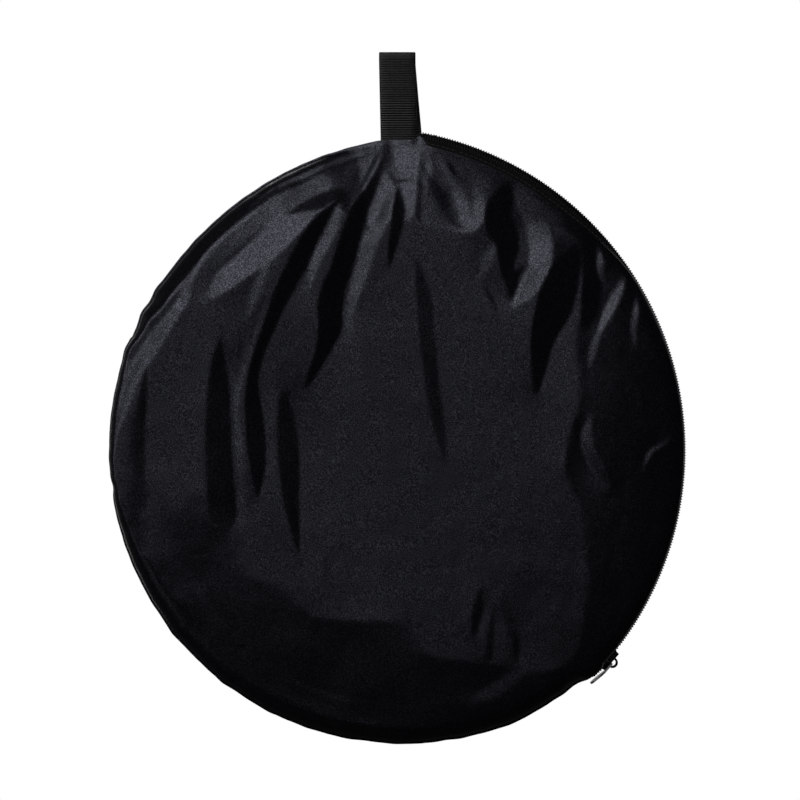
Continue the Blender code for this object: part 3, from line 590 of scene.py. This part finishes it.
class Finish:
    """A Principled material with short ways to wire its procedural textures."""

    def __init__(self, name, colour, roughness, metallic=0.0, specular=0.5):
        self.material = bpy.data.materials.new(name)
        self.material.use_nodes = True
        self.tree = self.material.node_tree
        self.shader = self.tree.nodes["Principled BSDF"]
        self.place = self.add("ShaderNodeTexCoord").outputs["Object"]
        self.shader.inputs["Base Color"].default_value = (*colour, 1)
        self.shader.inputs["Roughness"].default_value = roughness
        self.shader.inputs["Metallic"].default_value = metallic
        self.shader.inputs["Specular IOR Level"].default_value = specular
        self.normal = None

    def add(self, kind, **settings):
        node = self.tree.nodes.new(kind)
        for key, value in settings.items():
            setattr(node, key, value)
        return node

    def link(self, output, to):
        self.tree.links.new(output, to)

    def noise(self, scale, detail=2.0, stretch=(1, 1, 1)):
        """Cloudy 0 to 1 values; scale is in waves per metre."""
        spread = self.add("ShaderNodeMapping")
        spread.inputs["Scale"].default_value = stretch
        self.link(self.place, spread.inputs["Vector"])
        node = self.add("ShaderNodeTexNoise")
        node.inputs["Scale"].default_value = scale
        node.inputs["Detail"].default_value = detail
        self.link(spread.outputs["Vector"], node.inputs["Vector"])
        return node.outputs["Fac"]

    def wave(self, scale, direction, distortion=0.0):
        """Ribs across one axis; scale is in ribs per metre."""
        node = self.add("ShaderNodeTexWave", wave_type="BANDS", bands_direction=direction)
        node.inputs["Scale"].default_value = scale * WAVES_PER_RIB
        node.inputs["Distortion"].default_value = distortion
        self.link(self.place, node.inputs["Vector"])
        return node.outputs["Fac"]

    def weave(self, scale, distortion=0.0):
        """Threads both ways."""
        return self.mix(self.wave(scale, "X", distortion), self.wave(scale, "Z", distortion))

    def mix(self, first, second):
        """The two patterns multiplied."""
        node = self.add("ShaderNodeMath", operation="MULTIPLY")
        self.link(first, node.inputs[0])
        self.link(second, node.inputs[1])
        return node.outputs["Value"]

    def spread(self, value, low, high, start=0.3, end=0.7):
        """Stretches a texture's middle values to run from low to high."""
        node = self.add("ShaderNodeMapRange")
        for key, amount in (("From Min", start), ("From Max", end), ("To Min", low), ("To Max", high)):
            node.inputs[key].default_value = amount
        self.link(value, node.inputs["Value"])
        return node.outputs["Result"]

    def roughness(self, value, low, high):
        self.link(self.spread(value, low, high), self.shader.inputs["Roughness"])

    def colour(self, value, dark, light, start=0.3, end=0.7):
        ramp = self.add("ShaderNodeValToRGB")
        ramp.color_ramp.elements[0].position = start
        ramp.color_ramp.elements[1].position = end
        ramp.color_ramp.elements[0].color = (*dark, 1)
        ramp.color_ramp.elements[1].color = (*light, 1)
        self.link(value, ramp.inputs["Fac"])
        self.link(ramp.outputs["Color"], self.shader.inputs["Base Color"])

    def bump(self, value, strength, depth):
        """Adds one layer of relief; depth is in metres."""
        node = self.add("ShaderNodeBump")
        node.inputs["Strength"].default_value = strength
        node.inputs["Distance"].default_value = depth
        self.link(value, node.inputs["Height"])
        if self.normal:
            self.link(self.normal, node.inputs["Normal"])
        self.normal = node.outputs["Normal"]
        self.link(self.normal, self.shader.inputs["Normal"])

    def set(self, socket, value):
        self.shader.inputs[socket].default_value = value


def bag_satin():
    made = Finish("bag_satin", (0.006, 0.006, 0.008), 0.3, specular=0.3)
    made.set("Specular Tint", (0.80, 0.83, 1.0, 1))
    grain = made.noise(1700, 1)
    made.colour(grain, (0.0012, 0.0012, 0.0017), (0.005, 0.0052, 0.007))
    made.link(made.spread(grain, 0.15, 0.8, 0.44, 0.76), made.shader.inputs["Specular IOR Level"])
    made.roughness(made.noise(45, 3), 0.25, 0.32)
    made.bump(made.weave(2600), 0.25, 0.00003)
    made.bump(grain, 1.0, 0.00009)
    made.bump(made.noise(160, 3), 0.3, 0.0002)
    return made.material


def webbing():
    made = Finish("webbing", (0.004, 0.004, 0.0045), 0.4, specular=0.32)
    fibres = made.noise(900, 3, (1, 1, 0.25))
    made.colour(fibres, (0.001, 0.001, 0.0012), (0.006, 0.006, 0.0067))
    made.roughness(fibres, 0.32, 0.46)
    made.bump(made.mix(made.wave(1500, "X", 1.0), fibres), 0.5, 0.00012)
    return made.material


def thread():
    made = Finish("thread", (0.014, 0.014, 0.016), 0.55, specular=0.35)
    strands = made.noise(2500, 2, (1, 1, 0.4))
    made.colour(strands, (0.008, 0.008, 0.01), (0.03, 0.03, 0.034))
    made.roughness(strands, 0.4, 0.65)
    made.bump(strands, 0.5, 0.00005)
    return made.material


def zip_tape():
    made = Finish("zip_tape", (0.004, 0.004, 0.0045), 0.8, specular=0.07)
    twill = made.mix(made.wave(1700, "DIAGONAL", 0.4), made.noise(1200, 2))
    made.colour(twill, (0.0015, 0.0015, 0.0018), (0.012, 0.012, 0.013), 0.1, 0.5)
    made.roughness(made.noise(700, 2), 0.7, 0.9)
    made.bump(twill, 0.6, 0.0001)
    return made.material


def zip_coil():
    made = Finish("zip_coil", (0.003, 0.003, 0.0035), 0.42, specular=0.16)
    scuff = made.noise(1300, 3)
    made.colour(scuff, (0.0015, 0.0015, 0.002), (0.007, 0.007, 0.008))
    made.roughness(scuff, 0.34, 0.55)
    made.bump(scuff, 0.25, 0.00004)
    return made.material


def slider_metal():
    made = Finish("slider_metal", (0.02, 0.02, 0.021), 0.35, metallic=0.9)
    wear = made.noise(420, 5)
    made.colour(wear, (0.012, 0.012, 0.013), (0.16, 0.16, 0.165), 0.55, 0.82)
    made.roughness(made.noise(1100, 3), 0.25, 0.5)
    made.bump(made.noise(1500, 2), 0.2, 0.00003)
    return made.material


def pull_metal():
    made = Finish("pull_metal", (0.55, 0.55, 0.56), 0.3, metallic=1.0)
    haze = made.noise(500, 4)
    made.colour(haze, (0.42, 0.42, 0.43), (0.62, 0.62, 0.62))
    made.roughness(haze, 0.22, 0.45)
    made.bump(made.noise(1800, 3, (1, 6, 1)), 0.15, 0.00002)
    return made.material


def spring_steel():
    made = Finish("spring_steel", (0.42, 0.43, 0.45), 0.3, metallic=1.0)
    rolled = made.noise(900, 3, (1, 8, 1))
    made.colour(rolled, (0.33, 0.34, 0.36), (0.5, 0.51, 0.53))
    made.roughness(rolled, 0.22, 0.4)
    made.bump(rolled, 0.15, 0.00002)
    return made.material


def ferrule_brass():
    made = Finish("ferrule_brass", (0.6, 0.44, 0.2), 0.35, metallic=1.0)
    tarnish = made.noise(400, 4)
    made.colour(tarnish, (0.42, 0.3, 0.13), (0.68, 0.52, 0.26))
    made.roughness(tarnish, 0.28, 0.5)
    made.bump(made.noise(1200, 2), 0.15, 0.00003)
    return made.material


def rim_tape():
    made = Finish("rim_tape", (0.012, 0.012, 0.013), 0.65, specular=0.35)
    weave = made.weave(1400, 0.6)
    made.colour(made.noise(1000, 3), (0.007, 0.007, 0.008), (0.024, 0.024, 0.027))
    made.roughness(made.noise(600, 2), 0.5, 0.75)
    made.bump(weave, 0.5, 0.0001)
    made.set("Sheen Weight", 0.12)
    return made.material


def silver_cloth():
    made = Finish("silver_cloth", (0.62, 0.63, 0.65), 0.3, metallic=0.85)
    leaf = made.noise(1400, 4)
    made.colour(leaf, (0.5, 0.51, 0.53), (0.74, 0.75, 0.77))
    made.roughness(made.noise(260, 4), 0.22, 0.42)
    made.bump(made.weave(1800), 0.4, 0.00006)
    made.bump(made.noise(320, 4), 0.5, 0.0003)
    return made.material


def white_cloth():
    made = Finish("white_cloth", (0.78, 0.78, 0.77), 0.65, specular=0.3)
    weave = made.weave(1500)
    made.colour(made.noise(300, 4), (0.72, 0.72, 0.705), (0.83, 0.83, 0.82))
    made.roughness(made.noise(900, 2), 0.55, 0.75)
    made.bump(weave, 0.4, 0.00008)
    made.bump(made.noise(260, 4), 0.4, 0.0003)
    made.set("Sheen Weight", 0.15)
    return made.material


FINISHES = {make.__name__: make() for make in (
    bag_satin, webbing, thread, zip_tape, zip_coil, slider_metal, pull_metal, spring_steel,
    ferrule_brass, rim_tape, silver_cloth, white_cloth)}


def bend_with_lip(piece):
    """Bakes the piece's placement into its mesh; nothing is bent."""
    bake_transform(piece)


# ---- the bag ----
def cover(word, flat, folds, shed):
    """One face of the bag as one sheet of satin."""
    side = -1 if word == "front" else 1
    net, middle = cover_points(face_levels(flat, folds, SEEDS[word], shed), SEEDS[word])
    points = [(x * MM, side * height * MM, SEAM_Z - d * MM) for x, d, height in [*net, middle]]
    rings = EDGE_RINGS + RINGS
    faces = net_faces(rings, SPOKES, wrap_columns=True)
    last = (rings - 1) * SPOKES
    faces += [(last + k, last + (k + 1) % SPOKES, rings * SPOKES) for k in range(SPOKES)]
    if side > 0:
        faces = [face[::-1] for face in faces]
    piece = add_mesh(f"cover_{word}", points, faces, FINISHES["bag_satin"], sharp=180)
    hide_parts(f"{word}_panel", f"{word}_lip")
    bend_with_lip(piece)


STITCH_PITCH = 3.0 * MM
STITCH_LENGTH = 2.4 * MM
THREAD_RADIUS = 0.16 * MM
# (share of the stitch's length, lift, swell)
STITCH_PROFILE = [(0, -0.2, 0.5), (0.12, 0.6, 1), (0.5, 0.9, 1.1), (0.88, 0.6, 1), (1, -0.2, 0.5)]


def stitch(start, end, outward):
    """One stitch: a thread that rises from the cloth, lies on it and dives in again."""
    ahead = (end - start).normalized()
    aside = ahead.cross(outward).normalized()
    rings = []
    for share, lift, swell in STITCH_PROFILE:
        centre = start.lerp(end, share) + outward * (THREAD_RADIUS * lift)
        radius = THREAD_RADIUS * swell
        rings.append(ring(centre, aside * radius, outward * radius, 6))
    return rings


def stitch_row(name, place, first, last):
    """A row of stitches; place(angle) gives a point and the way out from the cloth there."""
    step = degrees(STITCH_PITCH / ZIP_RADIUS)
    count = int((last - first) / step)
    shells = []
    for k in range(count):
        angle = first + k * step
        start, outward = place(angle)
        end, _ = place(angle + step * STITCH_LENGTH / STITCH_PITCH)
        shells.append(stitch(start, end, outward))
    return many(name, shells, FINISHES["thread"], sharp=80)


# ---- the zip ----
TAPE_THICK = 0.5 * MM
TAPE_ACROSS = 8
TAPE_FROM_Y = 2.6 * MM
KNEE_Y = 5.1 * MM  # the tape lies level as far as this, so that the slider's sides pass over it
KNEE_SHARE = 0.3
STITCH_SHARE = 0.86
UNDER_RIM = 0.1 * MM  # how far the tape lies below the rim at the coil, at the knee and at the cloth
UNDER_RIM_AT_KNEE = 0.15 * MM
UNDER_CLOTH = 0.3 * MM


def on_tape(angle, side, share):
    """A point across the tape, from 0 beside the coil to 1 under the cloth, and the way out there."""
    rim = float(rim_radius(angle))
    coil = (rim - UNDER_RIM, TAPE_FROM_Y)
    knee = (rim - UNDER_RIM_AT_KNEE, KNEE_Y)
    cloth = (rim - float(tape_show(angle)) - UNDER_CLOTH, float(edge_height(angle)) - 0.1 * MM)
    start, end = (coil, knee) if share <= KNEE_SHARE else (knee, cloth)
    along = share / KNEE_SHARE if share <= KNEE_SHARE else (share - KNEE_SHARE) / (1 - KNEE_SHARE)
    radius = start[0] + (end[0] - start[0]) * along
    y = start[1] + (end[1] - start[1]) * along
    run = hypot(end[0] - start[0], end[1] - start[1])
    outward = at((0, 0), (end[1] - start[1]) / run, angle, side * (start[0] - end[0]) / run)
    return at(BAG_CENTRE, radius, angle, side * y), outward


def tape_piece(name, side, first, last):
    """Woven tape from the coil to the cloth's edge."""
    count = int((last - first) / 0.8) + 1
    rings = []
    for k in range(count + 1):
        angle = first + (last - first) * k / count
        across = [on_tape(angle, side, j / TAPE_ACROSS) for j in range(TAPE_ACROSS + 1)]
        upper = [point + outward * (TAPE_THICK / 2) for point, outward in across]
        lower = [point - outward * (TAPE_THICK / 2) for point, outward in across]
        rings.append(upper + lower[::-1])
    return sweep(name, rings, FINISHES["zip_tape"], sharp=60)


TOOTH_PITCH = 1.5 * MM
TOOTH_HALF = 0.46 * MM
# (mm from the middle plane, height, length along the zip)
TOOTH_PROFILE = [(-0.35, 0.45, 0.5), (-0.15, 0.8, 0.95), (0.5, 1.0, 1.25), (1.2, 1.0, 0.95),
                 (2.4, 0.95, 0.85), (3.0, 0.7, 0.75), (3.2, 0.35, 0.5)]


def tooth(angle, side):
    """One loop of the coil: a rounded bead with a swollen head that hooks past the middle."""
    turn = rim_angle(angle)
    along = at((0, 0), 1.0, angle + 90)
    out = at((0, 0), 1.0, angle)
    rings = []
    for y, high, long in TOOTH_PROFILE:
        centre = at(BAG_CENTRE, float(rim_radius(turn)) - COIL_SINK, turn, side * y * MM)
        rings.append(ring(centre, along * (TOOTH_HALF * long), out * (COIL_HALF_HEIGHT * high), 8))
    return rings


LEG_RADIUS = 0.33 * MM
# (share of the tape's width, lift, swell): a loop's legs, from the coil to where they end
LEG_PROFILE = [(0.0, 0.0, 0.8), (0.04, 0.6, 1.0), (0.3, 0.6, 1.0), (0.34, 0.7, 1.0), (0.6, 0.7, 1.0),
               (0.66, -0.3, 0.6)]


def tooth_leg(angle, side):
    """The two legs of one loop, side by side as one ribbed bar, lying on the tape."""
    turn = rim_angle(angle)
    along = at((0, 0), 1.0, turn + 90)
    rings = []
    for share, lift, swell in LEG_PROFILE:
        point, outward = on_tape(turn, side, share)
        centre = point + outward * (TAPE_THICK / 2 + LEG_RADIUS * lift)
        rings.append(ring(centre, along * (LEG_RADIUS * swell), outward * (LEG_RADIUS * swell), 6))
    return rings


def teeth_piece(name, side, first, last):
    """The coil's loops along the arc; the two sides interleave by half a pitch."""
    step = degrees(TOOTH_PITCH / ZIP_RADIUS)
    offset = 0.0 if side < 0 else step / 2
    count = int((last - first) / step)
    places = [first + step * (k + 0.5) + offset for k in range(count)]
    shells = [shape(place, side) for shape in (tooth, tooth_leg) for place in places]
    return many(name, shells, FINISHES["zip_coil"], sharp=60)


def zip_stitch_place(side):
    """Where the seam that holds the tape runs, beside the cloth's edge."""
    def place(angle):
        point, outward = on_tape(angle, side, STITCH_SHARE)
        return point + outward * (TAPE_THICK / 2), outward
    return place


STOP_HALF_HEIGHT = 1.2 * MM
STOP_HALF_LENGTH = 1.4 * MM
# (mm from the middle plane, size)
STOP_PROFILE = [(-2.6, 0.6), (-2.3, 0.95), (-1.6, 1.05), (1.6, 1.05), (2.3, 0.95), (2.6, 0.6)]


def make_stop(word, zip_angle):
    """A small metal clamp that ends the coil."""
    turn = rim_angle(zip_angle)
    centre = at(BAG_CENTRE, float(rim_radius(turn)) - COIL_SINK, turn)
    out, along = at((0, 0), 1.0, turn), at((0, 0), 1.0, turn + 90)
    rings = [ring(centre + Vector((0, y * MM, 0)), out * (STOP_HALF_HEIGHT * size),
                  along * (STOP_HALF_LENGTH * size), 8, start=22.5) for y, size in STOP_PROFILE]
    piece = sweep(f"{word}_stop", rings, FINISHES["slider_metal"], sharp=50)
    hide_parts(f"zip_{word}_stop")
    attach(piece, "bag")


SEAM_BINDING_END = 356.0  # it stops short of the loop
SEAM_BINDING_WIDTH = 0.007
SEAM_BINDING_STEP = 0.75


def make_seam_binding():
    """The tape inside the plain seam, between the two faces' edges."""
    rings = []
    for angle in np.arange(ZIP_TO + 2 * BLEND_AT_END, SEAM_BINDING_END, SEAM_BINDING_STEP):
        wander = min(float(seam_wander(angle, seed)) for seed in SEEDS.values())
        edge = float(rim_radius(angle)) + wander * MM
        rings.append([at(BAG_CENTRE, edge - inset, angle, y * MM)
                      for inset, y in ((0.0003, -0.3), (0.0003, 0.3), (SEAM_BINDING_WIDTH, 0.3),
                                       (SEAM_BINDING_WIDTH, -0.3))])
    piece = sweep("seam_tape", rings, FINISHES["webbing"], sharp=60)
    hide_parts("seam_binding")
    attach(piece, "bag")


def make_zip():
    first, last = rim_angle(MOUTH_START), rim_angle(MOUTH_END)
    for side, word in ((-1, "front"), (1, "back")):
        tape = tape_piece(f"tape_{word}", side, first, last)
        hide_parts(f"zip_tape_{word}")
        bend_with_lip(tape)
        teeth = teeth_piece(f"coil_{word}", side, MOUTH_START, MOUTH_END)
        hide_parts(f"zip_coil_{word}")
        bend_with_lip(teeth)
        row = stitch_row(f"zip_stitches_{word}", zip_stitch_place(side), first, last)
        bend_with_lip(row)
    for word, start, end in (("upper", ZIP_START, MOUTH_START), ("lower", MOUTH_END, ZIP_END)):
        for side, face in ((-1, "front"), (1, "back")):
            tape = tape_piece(f"{word}_end_tape_{face}", side, rim_angle(start), rim_angle(end))
            teeth = teeth_piece(f"{word}_end_coil_{face}", side, start, end)
            row = stitch_row(f"{word}_end_stitches_{face}", zip_stitch_place(side),
                             rim_angle(start), rim_angle(end))
            for piece, name in ((tape, "zip_tape"), (teeth, "zip_coil"), (row, "thread")):
                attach(piece, "bag")
            if side < 0:
                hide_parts(f"zip_{word}_end")


# ---- the hanging loop ----
WEB_HALF = 0.010
WEB_THICK = 0.0014
LOOP_CROWN_R = 0.0046
LOOP_FLARE_FROM = 0.0045
LOOP_FLARE_TO = 0.022
RIB_PITCH = 1.26 * MM
RIB_RISE = 0.32 * MM
LOOP_STEP = 0.18 * MM
LOOP_FOOT = -3.0 * MM  # from the seam
FRONT_FOOT_SHIFT = 0.2 * MM  # how far to the right each leg's foot and the crown lie
BACK_FOOT_SHIFT = 3.0 * MM
CROWN_SHIFT = -0.7 * MM
# (share of the half width, share of the thickness) from one selvedge to the other
WEB_PROFILE = [(-1, 0.35), (-0.985, 0.75), (-0.95, 1), (-0.6, 1), (-0.2, 1), (0.2, 1), (0.6, 1),
               (0.95, 1), (0.985, 0.75), (1, 0.35)]


def leg_gap(height):
    """Centreline distance of a leg from the loop's middle plane, at a height above the seam."""
    closed = WEB_THICK / 2 + 0.15 * MM
    share = float(smooth((height - LOOP_FLARE_FROM) / (LOOP_FLARE_TO - LOOP_FLARE_FROM)))
    return closed + (LOOP_CROWN_R - closed) * share


def loop_line():
    """Up the front leg, over the crown and down the back leg: (sideways shift, y, z) of the middle."""
    crown = -LOOP_CROWN_R + WEB_THICK / 2
    top = crown - SEAM_Z
    count = int((top - LOOP_FOOT) / LOOP_STEP)
    heights = [LOOP_FOOT + (top - LOOP_FOOT) * k / count for k in range(count)]
    front, back = ([(foot + (CROWN_SHIFT - foot) * h / top, side * leg_gap(h), SEAM_Z + h) for h in heights]
                   for foot, side in ((FRONT_FOOT_SHIFT, -1), (BACK_FOOT_SHIFT, 1)))
    turns = int(pi * LOOP_CROWN_R / LOOP_STEP)
    arc = [(CROWN_SHIFT, -LOOP_CROWN_R * cos(pi * k / turns), crown + LOOP_CROWN_R * sin(pi * k / turns))
           for k in range(turns + 1)]
    return front + arc + back[::-1]


def make_loop():
    """Grosgrain webbing: thick ribs across it, and rounded selvedges."""
    line = loop_line()
    rings = []
    for k, (shift, y, z) in enumerate(line):
        before, after = line[max(k - 1, 0)], line[min(k + 1, len(line) - 1)]
        ahead = Vector((after[1] - before[1], after[2] - before[2])).normalized()
        outward = Vector((0, -ahead.y, ahead.x))
        rib = RIB_RISE * (0.5 + 0.5 * cos(2 * pi * k * LOOP_STEP / RIB_PITCH))
        upper, lower = [], []
        for share, thick in WEB_PROFILE:
            middle = Vector((shift + WEB_HALF * share, y, z))
            half = thick * (WEB_THICK / 2 - RIB_RISE + rib)
            upper.append(middle + outward * half)
            lower.append(middle - outward * half)
        rings.append(upper + lower[::-1])
    piece = sweep("hanging_loop", rings, FINISHES["webbing"], sharp=80)
    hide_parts("loop_webbing")
    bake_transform(piece)


# ---- the collapsed reflector ----
def strand(turn):
    """The hoop's middle, three times round: (angle, radius, y) at this many degrees of the band."""
    phase = radians(turn / HOOP_TURNS)
    return turn, HOOP_RADIUS + STRAND_RADIAL * cos(phase), STRAND_AXIAL * sin(phase)


BINDING_SECTION = [(-2.0, -3.0), (-0.6, -3.5), (1.2, -3.5), (1.95, -2.4), (2.0, 0), (1.95, 2.4),
                   (1.2, 3.5), (-0.6, 3.5), (-2.0, 3.0), (-2.1, 1.2), (-2.1, -1.2)]
BINDING_STEPS = 720


def make_binding():
    """The black tape sewn round the spring band, puckered by its stitching."""
    rings = []
    for k in range(BINDING_STEPS):
        turn = 360 * HOOP_TURNS * k / BINDING_STEPS
        angle, radius, y0 = strand(turn)
        pucker = 1 + 0.03 * sin(radians(turn * 96)) + 0.02 * sin(radians(turn * 37))
        rings.append([at(DISC_CENTRE, radius + out * MM * pucker, angle, y0 + y * MM)
                      for out, y in BINDING_SECTION])
    piece = sweep("disc_binding", rings, FINISHES["rim_tape"], closed=True, sharp=50)
    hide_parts("rim_binding")
    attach(piece, "reflector")


SHEET_RADIUS = 124.0  # all in mm
FOLD_PITCH = 7.0
FOLD_REACH = 116.0
SHEET_CELL = 2.0


def folded_line(offset):
    """A Z fold of three layers as (x, y) points in mm, this far to one side of the middle line."""
    bend = FOLD_PITCH / 2
    turns = [radians(15 * k) for k in range(13)]
    run = np.arange(-SHEET_RADIUS, FOLD_REACH, SHEET_CELL)
    points = [(x, -FOLD_PITCH + offset) for x in run]
    points += [(FOLD_REACH + (bend - offset) * sin(t), -bend - (bend - offset) * cos(t)) for t in turns]
    points += [(x, offset) for x in np.arange(FOLD_REACH, -FOLD_REACH, -SHEET_CELL)[1:]]
    points += [(-FOLD_REACH - (bend + offset) * sin(t), bend - (bend + offset) * cos(t)) for t in turns]
    points += [(x, FOLD_PITCH + offset) for x in np.arange(-FOLD_REACH, SHEET_RADIUS, SHEET_CELL)[1:]]
    return points


def creases(x, z):
    """Soft creases from packing, the same for both cloths so that they never meet."""
    swirl = np.arctan2(z, x)
    reach = np.hypot(x, z)
    fan = np.sin(swirl * 9 + reach / 21) * smooth(reach / 60)
    fine = np.sin(swirl * 23 - reach / 9 + 2 * np.sin(swirl * 4)) * smooth((reach - 30) / 60)
    return (1.1 * fan + 0.45 * fine) * smooth((SHEET_RADIUS + 4 - reach) / 30)


def folded_sheet(name, offset, finish, node):
    """One face cloth of the disc, folded in three and lying inside the hoop."""
    line = folded_line(offset)
    rows = int(2 * SHEET_RADIUS / SHEET_CELL)
    points = []
    for r in range(rows + 1):
        level = -SHEET_RADIUS + 2 * SHEET_RADIUS * r / rows
        limit = (SHEET_RADIUS ** 2 - level ** 2 + 4.0) ** 0.5 / (SHEET_RADIUS ** 2 + 4.0) ** 0.5
        for x, y in line:
            across = x * limit
            y = y + float(creases(np.array(across), np.array(level)))
            points.append((DISC_CENTRE[0] + across * MM, y * MM, DISC_CENTRE[1] + level * MM))
    piece = add_mesh(name, points, net_faces(rows + 1, len(line)), FINISHES[finish], sharp=180)
    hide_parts(node)
    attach(piece, "reflector")


# ---- the frame's own pieces ----
EASE = 0.12 * MM  # the width of a metal edge's bevel


def finish_nodes():
    """Fine materials and eased edges on the frame's own pieces."""
    slots = {"loop_tails": "webbing", "bar_tack_upper": "thread", "bar_tack_lower": "thread",
             "zip_slider": "slider_metal", "pull_tab": "pull_metal", "steel_band": "spring_steel",
             "band_ferrule": "ferrule_brass"}
    for name, finish in slots.items():
        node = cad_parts[name]
        for slot in node.material_slots:
            slot.material = FINISHES[finish]
        if finish in ("slider_metal", "pull_metal"):
            eased = node.modifiers.new("eased", "BEVEL")
            eased.width = EASE
            eased.segments = 2
            eased.limit_method = "ANGLE"


# ---- studio ----
def glow(name, strength):
    """A plain white emitter."""
    made = bpy.data.materials.new(name)
    made.use_nodes = True
    tree = made.node_tree
    tree.nodes.clear()
    emitter = tree.nodes.new("ShaderNodeEmission")
    emitter.inputs["Color"].default_value = (1, 1, 1, 1)
    emitter.inputs["Strength"].default_value = strength
    output = tree.nodes.new("ShaderNodeOutputMaterial")
    tree.links.new(emitter.outputs["Emission"], output.inputs["Surface"])
    return made


def seen_only(piece):
    """Seen by the camera, but neither lights nor shows in the object."""
    for ray in ("diffuse", "glossy", "transmission", "shadow"):
        setattr(piece, f"visible_{ray}", False)


def make_stage():
    bpy.ops.mesh.primitive_uv_sphere_add(segments=48, ring_count=24, radius=7.0)
    backdrop = bpy.context.object
    backdrop.name = "backdrop"
    backdrop.data.materials.append(glow("backdrop_white", 1.0))
    bpy.ops.mesh.primitive_circle_add(vertices=64, radius=6.0, fill_type="NGON", location=(0, 0, -0.75))
    floor = bpy.context.object
    floor.name = "floor"
    floor.data.materials.append(glow("floor_white", 1.0))
    for piece in (backdrop, floor):
        seen_only(piece)


def softbox(name, place, target, width, height, radiance):
    """A soft box: its power is worked out from the brightness of its face."""
    light = bpy.data.lights.new(name, "AREA")
    light.shape = "RECTANGLE"
    light.size = width
    light.size_y = height
    light.energy = radiance * pi * width * height
    lamp = bpy.data.objects.new(name, light)
    bpy.context.scene.collection.objects.link(lamp)
    lamp.location = place
    lamp.rotation_euler = (Vector(target) - Vector(place)).to_track_quat("-Z", "Y").to_euler()
    lamp.visible_camera = False
    return lamp


WORLD_GLOW = 0.02


def make_lights():
    """Broad soft boxes before and behind, with smaller, brighter ones above and to the left."""
    middle = (0.0, 0.0, BAG_CENTRE[1])
    softbox("front_softbox", (-0.84, -1.35, 0.62), (-0.84, 0.0, 0.62), 2.2, 2.16, 0.60)
    softbox("key_softbox", (-0.56, -1.04, 0.73), middle, 0.9, 0.9, 2.8)
    softbox("left_softbox", (-1.25, -1.20, 0.05), middle, 0.5, 0.9, 2.2)
    softbox("low_softbox", (-1.4, -1.3, -1.15), middle, 1.3, 1.0, 0.34)
    softbox("back_softbox", (0.6, 1.45, 0.3), (0.6, 0.0, 0.3), 2.6, 2.0, 0.5)
    softbox("back_low_softbox", (1.35, 1.35, -0.95), middle, 0.9, 0.6, 0.35)
    softbox("back_key_softbox", (0.0, 1.05, 0.85), middle, 0.9, 0.9, 2.4)
    softbox("right_softbox", (1.9, 0.9, 0.0), middle, 0.8, 1.6, 0.25)
    softbox("far_left_softbox", (-1.9, 0.9, 0.0), middle, 0.8, 1.6, 0.12)
    world = bpy.data.worlds.new("studio")
    world.use_nodes = True
    world.node_tree.nodes["Background"].inputs["Color"].default_value = (1, 1, 1, 1)
    world.node_tree.nodes["Background"].inputs["Strength"].default_value = WORLD_GLOW
    bpy.context.scene.world = world
    bpy.context.scene.view_settings.view_transform = "Standard"


CAMERA_PLACE = (0.0008, -1.218, -0.1893)


def make_camera():
    data = bpy.data.cameras.new("camera")
    data.lens = 100
    data.sensor_width = 36
    data.clip_start = 0.05
    data.clip_end = 50
    camera = bpy.data.objects.new("camera", data)
    bpy.context.scene.collection.objects.link(camera)
    camera.location = CAMERA_PLACE
    camera.rotation_euler = (radians(90), 0, 0)
    bpy.context.scene.camera = camera


make_camera()
make_stage()
make_lights()
make_binding()
cover("front", FRONT_FLAT, FRONT_FOLDS, shed=9.5)
cover("back", BACK_FLAT, BACK_FOLDS, shed=8)
make_zip()
make_stop("upper", UPPER_STOP)
make_stop("lower", LOWER_STOP)
make_seam_binding()
make_loop()
folded_sheet("silver_face", -0.5, "silver_cloth", "silver_sheet")
folded_sheet("white_face", 0.5, "white_cloth", "white_sheet")
finish_nodes()
